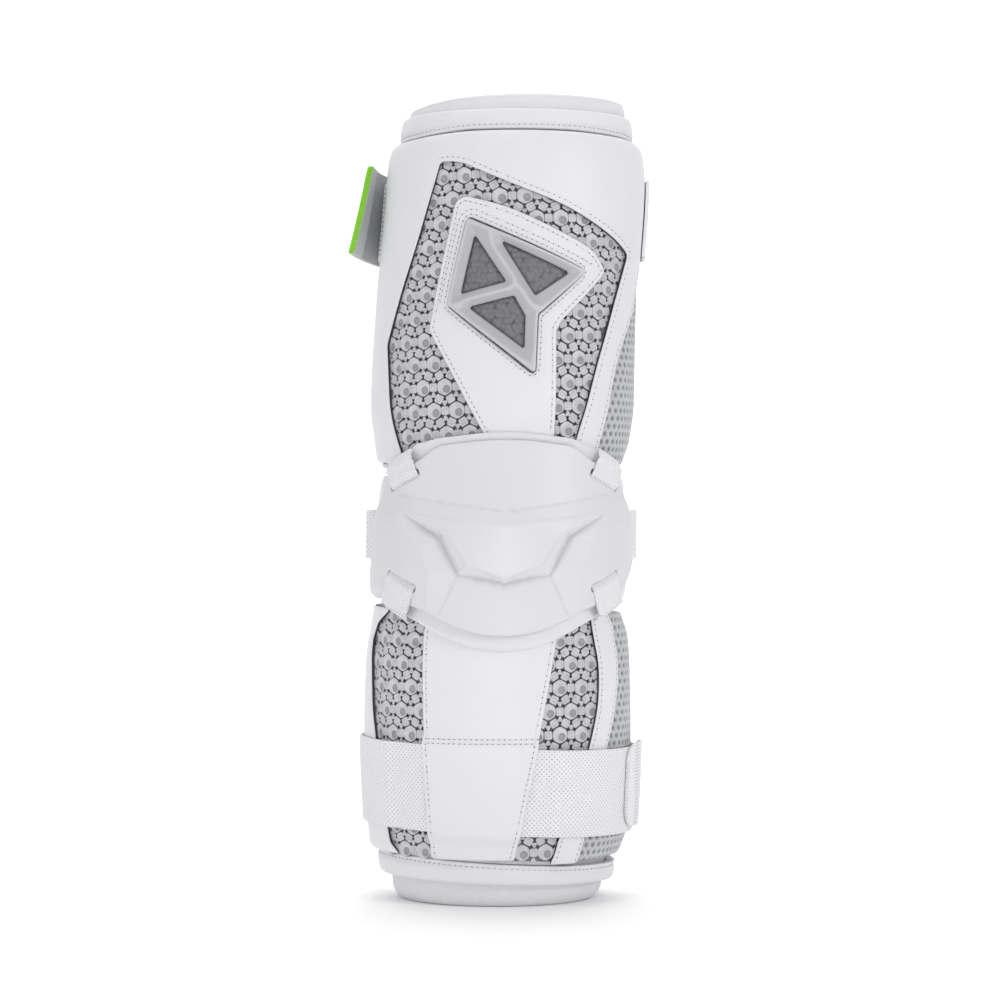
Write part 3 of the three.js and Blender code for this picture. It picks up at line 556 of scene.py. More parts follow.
def piece(name, points, faces, flat_points, looks, replaces=(), shade=None, edge_faces=0):
    """A smooth mesh that rides on the guard. The last edge_faces faces get the second finish."""
    mesh = bpy.data.meshes.new(name)
    mesh.from_pydata([tuple(p) for p in points], [], [tuple(int(i) for i in f) for f in faces])
    set_flat_map(mesh, np.asarray(flat_points, float))
    if shade is not None:
        set_shade(mesh, shade)
    for look in looks:
        mesh.materials.append(finishes()[look])
    if edge_faces and len(looks) > 1:
        index = np.zeros(len(mesh.polygons), np.int32)
        index[-edge_faces:] = 1
        mesh.polygons.foreach_set("material_index", index)
    mesh.shade_smooth()
    mesh.set_sharp_from_angle(angle=math.radians(52))
    made = bpy.data.objects.new(name, mesh)
    bpy.context.scene.collection.objects.link(made)
    return joined_to_guard(made, replaces)


def joined_to_guard(made, replaces=()):
    """The piece, told to the frame: its body, its colour slot and the nodes that it stands for."""
    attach(made, BODY)
    if replaces:
        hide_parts(*replaces)
    return made


def sheet_piece(name, sheet, outer, inner, looks, replaces=(), shade=None):
    """A closed piece between two levels; its cut edge gets the second finish."""
    count = len(sheet.points)
    outer, inner = (np.broadcast_to(level, count) for level in (outer, inner))
    points = np.vstack([placed(sheet.points, outer), placed(sheet.points, inner)])
    walls = [(b, a, a + count, b + count) for a, b in sheet.rim()]
    faces = [*sheet.faces, *(sheet.faces[:, ::-1] + count), *walls]
    both = np.vstack([sheet.points, sheet.points])
    # The inside of a piece is painted fully shaded
    shades = None if shade is None else np.concatenate([shade, np.ones(count)])
    return piece(name, points, faces, both, looks, replaces, shades, len(walls))


def swept_piece(name, turns, section, looks, replaces=(), closed=False):
    """A closed piece whose section, heights and levels in a loop, runs along the turns."""
    loops = [np.asarray(section(turn), float) for turn in turns]
    count = len(loops[0])
    flats = np.vstack([np.stack([np.full(count, turn * ARC), loop[:, 0]], axis=1)
                       for turn, loop in zip(turns, loops)])
    points = placed(flats, np.concatenate([loop[:, 1] for loop in loops]))
    rings = len(turns)
    faces = [
        (i * count + k, i * count + (k + 1) % count,
         (i + 1) % rings * count + (k + 1) % count, (i + 1) % rings * count + k)
        for i in range(rings if closed else rings - 1) for k in range(count)
    ]
    if not closed:
        faces += [tuple(range(count))[::-1], tuple(range((rings - 1) * count, rings * count))]
    return piece(name, points, faces, flats, looks, replaces)


def bar_section(low, high, bottom, top, radius, across=8):
    """A rounded rectangle of heights and levels, ordered so that swept faces point outwards."""
    arc = np.linspace(0, math.pi / 2, 4)
    corners = [(high - radius, top - radius, 0), (low + radius, top - radius, 1),
               (low + radius, bottom + radius, 2), (high - radius, bottom + radius, 3)]
    loop = []
    for z, level, quarter in corners:
        angle = arc + quarter * math.pi / 2
        loop += [(z + radius * math.cos(a), level + radius * math.sin(a)) for a in angle]
        if quarter == 0:
            loop += [(z + (low + radius - z) * t, top) for t in np.linspace(0, 1, across)[1:-1]]
        if quarter == 2:
            loop += [(z + (high - radius - z) * t, bottom) for t in np.linspace(0, 1, across)[1:-1]]
    return loop


# Materials

def add(tree, kind, inputs=None, **settings):
    """A node with its settings, its inputs set to values or linked to sockets."""
    node = tree.nodes.new(kind)
    for key, value in settings.items():
        setattr(node, key, value)
    for key, value in (inputs or {}).items():
        if isinstance(value, bpy.types.NodeSocket):
            tree.links.new(value, node.inputs[key])
        else:
            node.inputs[key].default_value = value
    return node


def finish(name, roughness, ior=1.5, **others):
    """A material and its tree; others are the shader's sockets."""
    material = bpy.data.materials.new(name)
    material.use_nodes = True
    sockets = material.node_tree.nodes["Principled BSDF"].inputs
    for key, value in {"Roughness": roughness, "IOR": ior, **others}.items():
        sockets[key].default_value = value
    return material, material.node_tree


def dressed(material, rgba, *reliefs, invert=False):
    """The material with its colour and its reliefs, each on the last: height, metres, strength."""
    tree = material.node_tree
    sockets = tree.nodes["Principled BSDF"].inputs
    tree.links.new(rgba, sockets["Base Color"])
    normal = None
    for height, distance, strength in reliefs:
        bump = add(tree, "ShaderNodeBump", {"Height": height, "Distance": distance,
                                            "Strength": strength}, invert=invert)
        if normal is not None:
            tree.links.new(normal, bump.inputs["Normal"])
        normal = bump.outputs["Normal"]
        tree.links.new(normal, sockets["Normal"])
    return material


def pale(rgba, share):
    """A colour made lighter above 1 or darker below."""
    return (*(min(1.0, part * share) for part in rgba[:3]), 1.0)


def mottled(tree, place, rgba, scale, spread):
    """A colour that drifts a little lighter and darker."""
    cloud = add(tree, "ShaderNodeTexNoise", {"Vector": place, "Scale": scale, "Detail": 3.0}).outputs[0]
    return add(tree, "ShaderNodeMix", {0: cloud, 6: pale(rgba, 1 - spread), 7: pale(rgba, 1 + spread)},
               data_type="RGBA").outputs[2]


def with_painted_shade(tree, top, deep):
    """The colour of a pattern: one on its tops, another where the depth attribute says it is deep."""
    depth = add(tree, "ShaderNodeAttribute", attribute_name="depth").outputs["Fac"]
    return add(tree, "ShaderNodeMix", {0: depth, 6: top, 7: deep}, data_type="RGBA").outputs[2]


def waves(tree, pitch, tilt):
    """Heights from 0 to 1 of straight waves across the flat map, a pitch in metres apart."""
    flat_map = add(tree, "ShaderNodeUVMap", uv_map="flat")
    turned = add(tree, "ShaderNodeMapping", {"Vector": flat_map.outputs["UV"],
                                             "Rotation": (0, 0, math.radians(tilt)),
                                             "Scale": (math.tau / pitch, math.tau / pitch, 1)})
    across = add(tree, "ShaderNodeSeparateXYZ", {"Vector": turned.outputs["Vector"]}).outputs["X"]
    wave = add(tree, "ShaderNodeMath", {0: across}, operation="SINE").outputs[0]
    return add(tree, "ShaderNodeMapRange", {"Value": wave, "From Min": -1.0}).outputs["Result"]


def leather_finish(name, rgba, roughness=0.48):
    """Synthetic leather, an embossed polyurethane skin: satin, with a pebbled grain of 0.9 mm."""
    material, tree = finish(name, roughness, **{"Sheen Weight": 0.08, "Sheen Roughness": 0.5})
    place = add(tree, "ShaderNodeTexCoord").outputs["Object"]
    fullness = add(tree, "ShaderNodeTexNoise", {"Vector": place, "Scale": 60.0, "Detail": 2.0})
    pebbles = add(tree, "ShaderNodeTexVoronoi", {"Vector": place, "Scale": 1 / 0.0009})
    return dressed(material, mottled(tree, place, rgba, 45.0, 0.014),
                   (fullness.outputs[0], 0.0007, 0.25), (pebbles.outputs["Distance"], 0.00008, 0.5))


def shell_finish(rgba):
    """Injection-moulded polyethylene: smooth and satin, a little darker inside its creases."""
    material, tree = finish("moulded_polyethylene_shell", 0.42)
    place = add(tree, "ShaderNodeTexCoord").outputs["Object"]
    fine = add(tree, "ShaderNodeTexNoise", {"Vector": place, "Scale": 1 / 0.0011, "Detail": 2.0})
    return dressed(material, with_painted_shade(tree, mottled(tree, place, rgba, 25.0, 0.006), pale(rgba, 0.78)),
                   (fine.outputs[0], 0.00004, 0.35))


def moulded_finish(name, top, deep, roughness, cloudy=0.14, grain=0.0012, height=0.0002):
    """Moulded elastomer: satin, cloudy like a clear grey rubber, darker where a pattern is deep."""
    material, tree = finish(name, roughness)
    place = add(tree, "ShaderNodeTexCoord").outputs["Object"]
    fine = add(tree, "ShaderNodeTexNoise", {"Vector": place, "Scale": 1 / grain, "Detail": 3.0})
    return dressed(material, with_painted_shade(tree, mottled(tree, place, top, 260.0, cloudy), deep),
                   (fine.outputs[0], height, 0.4))


def foam_finish(top, deep):
    """Perforated foam with a brushed nylon face: matt light grey, darker inside its dimples."""
    material, tree = finish("dimpled_nylon_foam", 0.72, 1.45, **{"Sheen Weight": 0.15})
    place = add(tree, "ShaderNodeTexCoord").outputs["Object"]
    fuzz = add(tree, "ShaderNodeTexNoise", {"Vector": place, "Scale": 1 / 0.0006, "Detail": 3.0})
    return dressed(material, with_painted_shade(tree, mottled(tree, place, top, 180.0, 0.1), deep),
                   (fuzz.outputs[0], 0.0001, 0.5))


def woven_finish(name, rgba, pitch, tilts, dark=0.72, depth=0.0003):
    """Woven polyester: two sets of yarns cross, and the gap at each crossing is darker."""
    material, tree = finish(name, 0.7, **{"Sheen Weight": 0.1})
    place = add(tree, "ShaderNodeTexCoord").outputs["Object"]
    first, second = (waves(tree, pitch, tilt) for tilt in tilts)
    cross = add(tree, "ShaderNodeMath", {0: first, 1: second}, operation="MULTIPLY").outputs[0]
    pit = add(tree, "ShaderNodeMapRange", {"Value": cross, "From Min": 0.55, "From Max": 0.9})
    mix = add(tree, "ShaderNodeMix", {0: pit.outputs["Result"], 6: mottled(tree, place, rgba, 90.0, 0.02),
                                      7: pale(rgba, dark)}, data_type="RGBA")
    return dressed(material, mix.outputs[2], (cross, depth, 0.6), invert=True)


def pile_finish(rgba):
    """Brushed hook-and-loop pile: matt, with a tangle of short fibres, darker along its middle."""
    material, tree = finish("brushed_loop_pile", 0.95, 1.45, **{"Sheen Weight": 0.4})
    place = add(tree, "ShaderNodeTexCoord").outputs["Object"]
    tangle = add(tree, "ShaderNodeTexNoise", {"Vector": place, "Scale": 1 / 0.0009, "Detail": 4.0,
                                              "Distortion": 1.5}).outputs[0]
    fleck = add(tree, "ShaderNodeMix", {0: tangle, 6: with_painted_shade(tree, pale(rgba, 1.7), pale(rgba, 0.75)),
                                        7: pale(rgba, 1.5)}, data_type="RGBA")
    return dressed(material, fleck.outputs[2], (tangle, 0.0006, 0.9))


def plain_finish(name, rgba, roughness):
    """Thread, dark foam or coated cloth: one matt colour with a fine grain."""
    material, tree = finish(name, roughness)
    place = add(tree, "ShaderNodeTexCoord").outputs["Object"]
    return dressed(material, mottled(tree, place, rgba, 900.0, 0.08))


FINISHES = {}


def finishes():
    """Every material of the guard, made once."""
    if not FINISHES:
        c = bpy.context.scene.guard_colours
        colours = {key: tuple(getattr(c, key)) for key in c.__annotations__}
        FINISHES.update(
            leather=leather_finish("white_synthetic_leather", colours["leather"]),
            binding=leather_finish("white_padded_binding", colours["leather"], 0.55),
            shell=shell_finish(colours["shell"]),
            # The lattice's grooves, dimples and base get painted shade
            lattice=moulded_finish("clear_grey_lattice_rubber", colours["lattice"],
                                   colours["lattice_deep"], 0.42, 0.3),
            # The truss's slopes get painted shade, leaving its ridges as painted highlights
            truss=moulded_finish("satin_grey_elastomer", colours["truss"], pale(colours["truss"], 0.6),
                                 0.38, 0.01, 0.0008, 0.00003),
            # The mesh gets painted shade between its bubbles and along the windows' edges
            mesh=moulded_finish("bubbly_spacer_mesh", colours["mesh"], pale(colours["mesh"], 0.33),
                                0.5, 0.3),
            foam=foam_finish(colours["gusset"], colours["gusset_deep"]),
            webbing=woven_finish("woven_polyester_webbing", colours["webbing"], 0.0017, (45, -45), 0.45),
            loop=woven_finish("woven_elastic_loop", colours["webbing"], 0.0012, (40, -50), 0.45, 0.0003),
            elastic=woven_finish("ribbed_elastic", colours["webbing"], 0.0016, (90, 84), 0.6, 0.0005),
            knit=woven_finish("knitted_nylon_lining", colours["leather"], 0.0012, (8, 82), 0.9, 0.0002),
            edging=woven_finish("green_woven_edging", colours["edging"], 0.0009, (35, -35), 0.7),
            label=plain_finish("coated_label_cloth", colours["label"], 0.5),
            pile=pile_finish(colours["pile"]),
            thread=plain_finish("seam_thread", colours["thread"], 0.6),
            # The stitch hole is a dark disc of painted shade
            hole=plain_finish("stitch_hole", pale(colours["backing"], 3.2), 0.9),
            # Partly the dark foam backing, partly painted shade at the cut edges
            backing=plain_finish("cut_foam_backing", colours["backing"], 0.85),
        )
    return FINISHES


# Geometry Nodes

def new_tree(name, inputs):
    """A geometry tree with named inputs after its geometry."""
    tree = bpy.data.node_groups.new(name, "GeometryNodeTree")
    tree.interface.new_socket("Geometry", in_out="INPUT", socket_type="NodeSocketGeometry")
    tree.interface.new_socket("Geometry", in_out="OUTPUT", socket_type="NodeSocketGeometry")
    for label, kind in inputs:
        tree.interface.new_socket(label, in_out="INPUT", socket_type=kind)
    return tree, tree.nodes.new("NodeGroupInput"), tree.nodes.new("NodeGroupOutput")


def apply_tree(base, tree, values):
    """Turn an object into the plain mesh that a tree makes from it, with inputs set by their labels."""
    modifier = base.modifiers.new(tree.name, "NODES")
    modifier.node_group = tree
    for socket in tree.interface.items_tree:
        if socket.in_out == "INPUT" and socket.name in values:
            modifier[socket.identifier] = values[socket.name]
    depsgraph = bpy.context.evaluated_depsgraph_get()
    mesh = bpy.data.meshes.new_from_object(base.evaluated_get(depsgraph))
    base.modifiers.remove(modifier)
    mesh.name = base.name
    base.data = mesh


def standing(tree, along):
    """The turn of a copy that lies along a direction and stands on the surface."""
    up = add(tree, "GeometryNodeInputNamedAttribute", {"Name": "up"}, data_type="FLOAT_VECTOR")
    return add(tree, "FunctionNodeAxesToRotation", {0: along, 1: up.outputs["Attribute"]},
               primary_axis="X", secondary_axis="Z").outputs[0]


def copies(tree, points, shape, turned, **chosen):
    """Copies of a shape on points."""
    source = add(tree, "GeometryNodeObjectInfo", {"Object": shape})
    return add(tree, "GeometryNodeInstanceOnPoints", {
        "Points": points, "Instance": source.outputs["Geometry"], "Rotation": turned,
        **chosen}).outputs["Instances"]


def made_real(tree, instances, material):
    """Copies as plain faces of a material."""
    real = add(tree, "GeometryNodeRealizeInstances", {"Geometry": instances})
    return add(tree, "GeometryNodeSetMaterial", {
        "Geometry": real.outputs["Geometry"], "Material": material}).outputs["Geometry"]


def marked_object(name, points, edges, directions):
    """Points and edges for a tree, with a direction of each name at every point."""
    mesh = bpy.data.meshes.new(name)
    mesh.from_pydata([tuple(p) for p in points], edges, [])
    for label, values in directions.items():
        layer = mesh.attributes.new(label, "FLOAT_VECTOR", "POINT")
        layer.data.foreach_set("vector", values.astype(np.float32).ravel())
    made = bpy.data.objects.new(name, mesh)
    bpy.context.scene.collection.objects.link(made)
    return made


def seam_tree():
    """Stitches and holes along edges: one of each per pitch, standing on the surface."""
    tree, given, result = new_tree("Seam", [
        ("Pitch", "NodeSocketFloat"), ("Stitch", "NodeSocketObject"), ("Hole", "NodeSocketObject"),
        ("Thread", "NodeSocketMaterial"), ("Pit", "NodeSocketMaterial")])
    path = add(tree, "GeometryNodeMeshToCurve", {"Mesh": given.outputs["Geometry"]})
    marks = add(tree, "GeometryNodeCurveToPoints", {"Curve": path.outputs["Curve"],
                                                    "Length": given.outputs["Pitch"]}, mode="LENGTH")
    turned = standing(tree, marks.outputs["Tangent"])
    both = add(tree, "GeometryNodeJoinGeometry")
    for shape, material in (("Stitch", "Thread"), ("Hole", "Pit")):
        some = copies(tree, marks.outputs["Points"], given.outputs[shape], turned)
        tree.links.new(made_real(tree, some, given.outputs[material]), both.inputs["Geometry"])
    tree.links.new(both.outputs["Geometry"], result.inputs["Geometry"])
    return tree


def lattice_tree():
    """A cell on each point: a hexagon, square or triangle by its kind, turned as it is told."""
    tree, given, result = new_tree("Lattice", [
        *((shape, "NodeSocketObject") for shape in CELLS), ("Rubber", "NodeSocketMaterial")])
    along = add(tree, "GeometryNodeInputNamedAttribute", {"Name": "along"}, data_type="FLOAT_VECTOR")
    turned = standing(tree, along.outputs["Attribute"])
    kind = add(tree, "GeometryNodeInputNamedAttribute", {"Name": "kind"}, data_type="INT")
    every = add(tree, "GeometryNodeJoinGeometry")
    for i, shape in enumerate(CELLS):
        chosen = add(tree, "FunctionNodeCompare", {2: kind.outputs["Attribute"], 3: i},
                     data_type="INT", operation="EQUAL")
        some = copies(tree, given.outputs["Geometry"], given.outputs[shape], turned,
                      Selection=chosen.outputs[0])
        tree.links.new(some, every.inputs["Geometry"])
    tree.links.new(made_real(tree, every.outputs["Geometry"], given.outputs["Rubber"]),
                   result.inputs["Geometry"])
    return tree


def ringed_shape(name, rings, shade=None):
    """A capped stack of equal rings of points, the lowest first, for a tree to copy."""
    count = len(rings[0])
    points = [p for ring in rings for p in ring] + [tuple(np.mean(rings[-1], axis=0))]
    faces = [(r * count + k, r * count + (k + 1) % count,
              (r + 1) * count + (k + 1) % count, (r + 1) * count + k)
             for r in range(len(rings) - 1) for k in range(count)]
    top = (len(rings) - 1) * count
    faces += [(top + k, top + (k + 1) % count, len(points) - 1) for k in range(count)]
    faces.append(tuple(range(count))[::-1])
    mesh = bpy.data.meshes.new(name)
    mesh.from_pydata([tuple(np.array(p) * MM) for p in points], [], faces)
    if shade is not None:
        set_shade(mesh, [value for value in shade for _ in range(count)] + [shade[-1]])
    mesh.shade_smooth()
    return bpy.data.objects.new(name, mesh)


def circle(radius, count, height=0.0, aside=(0, 0), spin=0.0):
    """A ring of points."""
    return [(aside[0] + radius * math.cos(a), aside[1] + radius * math.sin(a), height)
            for a in spin + np.arange(count) * math.tau / count]


def stitch_shapes():
    """A thread stitch, 1.7 mm long, and the small hole at its end."""
    rings = [[(x, 0.22 * share * y, 0.05 + 0.12 * share * z) for y, z, _ in circle(1, 6)]
             for x, share in ((-0.85, 0.3), (-0.65, 0.8), (0, 1), (0.65, 0.8), (0.85, 0.3))]
    hole = [circle(0.32, 8, height, (1.25, 0)) for height in (-0.15, 0.06)]
    return ringed_shape("stitch_shape", rings), ringed_shape("hole_shape", hole)


def seam(name, parent, rows, pitch=None):
    """Stitches on a piece, along rows of flat paths."""
    tree = bpy.data.node_groups.get("Seam") or seam_tree()
    shapes = [bpy.data.objects.get(n) for n in ("stitch_shape", "hole_shape")]
    if None in shapes:
        shapes = stitch_shapes()
    surface = BVHTree.FromPolygons([v.co for v in parent.data.vertices],
                                   [tuple(p.vertices) for p in parent.data.polygons])
    points, ups, edges = [], [], []
    for row in rows:
        start = len(points)
        for outer, inner in zip(placed(row, 30), placed(row, 0)):
            hit, normal, _, _ = surface.ray_cast(Vector(outer), Vector(inner - outer).normalized(), 0.05)
            if hit is not None:
                points.append(hit)
                ups.append(normal)
        edges += [(i, i + 1) for i in range(start, len(points) - 1)]
    made = marked_object(name, points, edges, {"up": np.array(ups)})
    pitch = pitch * MM if pitch else bpy.context.scene.guard_sizes.stitch_pitch
    apply_tree(made, tree, {"Pitch": pitch, "Stitch": shapes[0], "Hole": shapes[1],
                            "Thread": finishes()["thread"], "Pit": finishes()["hole"]})
    joined_to_guard(made)


def ring_edge(share, slope):
    """The height of a wrist ring's edge at a turn."""
    return lambda turn: (share - slope * np.sin(np.radians(turn))) * LENGTH


WRIST_LOW = ring_edge(WRIST_RING["low"], WRIST_RING["low_slope"])
WRIST_HIGH = ring_edge(WRIST_RING["high"], WRIST_RING["high_slope"])
TONGUE_FOOT = WRIST_HIGH(TONGUE["left"][0]) + 2 * GAP


def hem(start, end):
    """Corners just above the wrist ring, from one turn to another."""
    steps = max(1, round(abs(end - start) / FACET))
    return [(turn, (WRIST_HIGH(turn) + 2 * GAP) / LENGTH) for turn in np.linspace(start, end, steps + 1)]


def leather_level(sheet, top=COVER_TOP, seams=(), seed=0.0):
    """The outside of a leather piece: rounded at its cut edge, pressed in along seams, slightly uneven."""
    sizes = bpy.context.scene.guard_sizes
    hem_line = WRIST_HIGH(sheet.points[:, 0] / ARC) + 2 * GAP
    level = top - edge_drop(sheet.depth, sizes.cut_edge / MM)
    level = level - HEM_ROLL * edge_drop(np.maximum(0, sheet.points[:, 1] - hem_line), HEM_RADIUS)
    level = level + SWELL_RISE * (uneven(sheet.points, SWELL_SIZE, seed) - 1)
    for row in seams:
        near = depth_in(sheet.points, row[:-1], row[1:])
        level = level - PRESS_DEPTH * np.exp(-(near / PRESS_REACH) ** 2)
    return level


def build_sleeve():
    """The knitted lining: a tube with a soft rolled hem at both ends."""
    def section(turn):
        top = LENGTH - np.interp((turn + 180) % 360 - 180, *np.array(COLLAR_DROP).T)
        outside = [(z, 0) for z in np.linspace(11, 380, 64)]
        collar = [*COLLAR_ROOT, *((z * top / LENGTH, level) for z, level in COLLAR_ROLL)]
        lip = [(top, 0.6), (top, -0.6), (top - 0.4, -1.9), (top - 2, -SLEEVE_WALL)]
        inner = [(z, -SLEEVE_WALL) for z in np.linspace(top - 8, 14, 40)]
        return (outside + collar + lip + inner + FOOT_ROLL)[::-1]

    swept_piece("sleeve_knit", np.arange(-180, 180, 2.5), section, ["knit"],
                ["inner_sleeve"], closed=True)


def puffy_section(low, high, seam_at):
    """A stuffed binding's section, full in the middle and drawn in at its seam."""
    middle, half = (low + high) / 2, (high - low) / 2
    loop = []
    for a in np.linspace(0, math.tau, 41)[:-1]:
        x, y = math.cos(a), math.sin(a)
        z = middle + half * math.copysign(abs(x) ** 0.5, x)
        level = ON_SLEEVE + RING_THICKNESS / 2 * (1 + math.copysign(abs(y) ** 0.5, y))
        if y > 0:
            level -= 0.9 * math.exp(-((z - seam_at) / 1.1) ** 2)
        loop.append((z, level))
    return loop


def build_rings():
    """The padded bindings at both ends, with a seam along each."""
    plain = [(turn, TOP_RING["low"]) for turn in (-180, -150, 150, 180)]
    edge = plain[:2] + [(turn, up + 0.0012) for turn, up in COVER_TOP_LINE] + plain[2:]

    def low(turn):
        return np.interp((turn + 180) % 360 - 180, *np.array(edge).T) * LENGTH

    ends = {
        "top": (low, lambda turn: TOP_RING["high"] * LENGTH, lambda turn: low(turn) + RING_SEAM),
        "wrist": (WRIST_LOW, lambda turn: WRIST_HIGH(turn) + GAP, lambda turn: WRIST_HIGH(turn) - WRIST_SEAM),
    }
    around = np.arange(-180, 181, 2.0)
    made = {end: swept_piece(end + "_ring_binding", np.arange(-180, 180, 3),
                             lambda turn: puffy_section(*(line(turn) for line in lines)),
                             ["binding"], [end + "_ring"], closed=True)
            for end, lines in ends.items()}
    for end, lines in ends.items():
        seam(end + "_ring_seam", made[end], [np.stack([around * ARC, lines[2](around)], axis=1)],
             RING_PITCH)


def cell_shapes(edge, depth):
    """The cells of the moulded lattice, in millimetres: raised, with soft edges."""
    def polygon(sides, radius, height, spin, soft):
        corners = np.array(circle(radius, sides, height, spin=spin))
        return [tuple(corner + (other - corner) * soft) for k, corner in enumerate(corners)
                for other in (corners[k - 1], corners[(k + 1) % sides])]

    cells = []
    # Each ring's last value is painted shade: darkest at the foot of a groove, in the pressed line and in the
    # dimple
    rim = [(0, -depth - 0.3, 1.0), (0.02, -0.35 * depth, 0.8), (0.14, -0.06 * depth, 0.35), (0.36, 0, 0.0)]
    line = [(0.25, 0, 0.05), (0.0, -0.12, 0.42), (-0.25, 0, 0.05)]
    dimple = [(0.42, -0.02, 0.05), (0.38, -0.25, 0.75), (0.28, -0.4, 0.6)]
    for name, (sides, spin, soft, inside_line, _) in CELLS.items():
        flatness = math.cos(math.pi / sides)
        reach = edge / (2 * math.sin(math.pi / sides)) - CELL_GAP / flatness
        rings = [polygon(sides, reach - inset / flatness, height, spin, soft) for inset, height, _ in rim]
        if name == "Hexagon":
            # The dimple sits off the middle, towards the lower right, and is painted darker as shade
            aside = (0.22 * edge, -0.2 * edge)
            rings += [circle(share * edge, 12, height, aside, spin - math.pi / 12)
                      for share, height, _ in dimple]
        else:
            reach -= inside_line / flatness
            rings += [polygon(sides, max(0.2, reach + more), height, spin, 0.12) for more, height, _ in line]
        shade = [value for *_, value in rim + (dimple if name == "Hexagon" else line)]
        cells.append(ringed_shape(name.lower() + "_cell", rings, shade))
    return cells


def lattice_points(low, high, pitch, lean):
    """Cell middles between two corners: place, kind and turn, for a pitch between hexagons."""
    cells = []
    middle = (low + high) / 2
    count = int(np.hypot(*(high - low)) / 2 / pitch / 0.8) + 2
    first, second = (np.array([math.cos(lean + a), math.sin(lean + a)]) * pitch for a in (0, math.pi / 3))
    for i in range(-count, count + 1):
        for j in range(-count, count + 1):
            at = middle + i * first + j * second
            cells.append((at, 0, lean))
            for k, way in enumerate((first, second, second - first)):
                cells.append((at + way / 2, 1, lean + k * math.pi / 3))
            cells.append((at + (first + second) / 3, 2, lean + math.pi))
            cells.append((at + (second - first + second) / 3, 2, lean))
    return cells


def build_pad(name, node, outline, shows, lean):
    """A moulded pad: a plain base, and lattice cells wherever the covers leave it open."""
    sizes = bpy.context.scene.guard_sizes
    depth, pitch = sizes.cell_depth / MM, sizes.cell_pitch / MM
    edge = rounded(flat(outline), 4)
    sheet = Sheet(edge, step=4.0, rows=(0.5, 1.2, 1.9, 2.4))
    # Painted shade on the base between the cells, lighter only where it rises near the pad's edge
    raised = np.clip(2.6 - sheet.depth, 0, 0.6) / 0.6
    level = PAD_TOP - depth * (1 - raised) - 0.3 - edge_drop(sheet.depth, 1.2)
    base = sheet_piece(name + "_base", sheet, level, ON_SLEEVE, ["lattice"],
                       [node], shade=1 - 0.9 * raised)

    edge = wound(edge)
    least = [size[-1] for size in CELLS.values()]
    places = []
    for region in shows:
        loop = wound(rounded(region, 1))
        ends = np.roll(loop, -1, 0)
        cells = lattice_points(loop.min(axis=0), loop.max(axis=0), pitch, lean)
        at = np.array([cell[0] for cell in cells])
        near = inside(at, loop, ends) | (depth_in(at, loop, ends) < 0.75 * pitch)
        near &= inside(at, edge, np.roll(edge, -1, 0))
        near &= depth_in(at, edge, np.roll(edge, -1, 0)) > [least[kind] for _, kind, _ in cells]
        places += [cell for cell, kept in zip(cells, near) if kept]
    at, turn = (np.array([cell[k] for cell in places]) for k in (0, 2))
    centre = placed(at, PAD_TOP)
    ways = {"up": placed(at, PAD_TOP + 1) - centre,
            "along": placed(at + np.stack([np.cos(turn), np.sin(turn)], axis=1), PAD_TOP) - centre}
    made = marked_object(name, centre, [], {label: way / np.linalg.norm(way, axis=1)[:, None]
                                            for label, way in ways.items()})
    kinds = made.data.attributes.new("kind", "INT", "POINT")
    kinds.data.foreach_set("value", [cell[1] for cell in places])
    shapes = [bpy.data.objects.get(shape.lower() + "_cell") for shape in CELLS]
    if None in shapes:
        shapes = cell_shapes(pitch / (1 + math.sqrt(3)), depth)
    tree = bpy.data.node_groups.get("Lattice") or lattice_tree()
    apply_tree(made, tree, {"Rubber": finishes()["lattice"], **dict(zip(CELLS, shapes))})
    joined_to_guard(made)


def tongue_side(side, heights):
    """Turns of one side of the tongue at heights."""
    bottom, top = TONGUE[side]
    return bottom + (top - bottom) * (heights - TONGUE_FOOT) / (TONGUE["top"] * LENGTH - TONGUE_FOOT)


def build_pads():
    """The two grey lattice pads."""
    build_pad("bicep_lattice", "bicep_pad", BICEP_PAD_EDGE, [flat(BICEP_WINDOW)], math.radians(2))
    heights = np.array([150.0, 22.0])
    windows = [np.vstack([flat(edge), np.stack([tongue_side(side, heights) * ARC, heights], axis=1)])
               for edge, side in ((FOREARM_COVER_INNER, "left"), (FOREARM_BAND_INNER, "right"))]
    outline = hem(PAD_SIDE[0], FOREARM_SEAM[0][0]) + FOREARM_SEAM[1:] + [PAD_SIDE]
    build_pad("forearm_lattice", "forearm_pad", outline, windows, 0.0)


# By default the cut edge is dark: partly foam backing, partly painted shade
def leather_piece(name, node, sheet, level, under, rows=(), pitch=None, cut="backing"):
    """A leather piece stretched on a pad, and its seams."""
    made = sheet_piece(name + "_leather", sheet, level, under, ["leather", cut],
                       [node])
    if rows:
        seam(name + "_seams", made, rows, pitch)


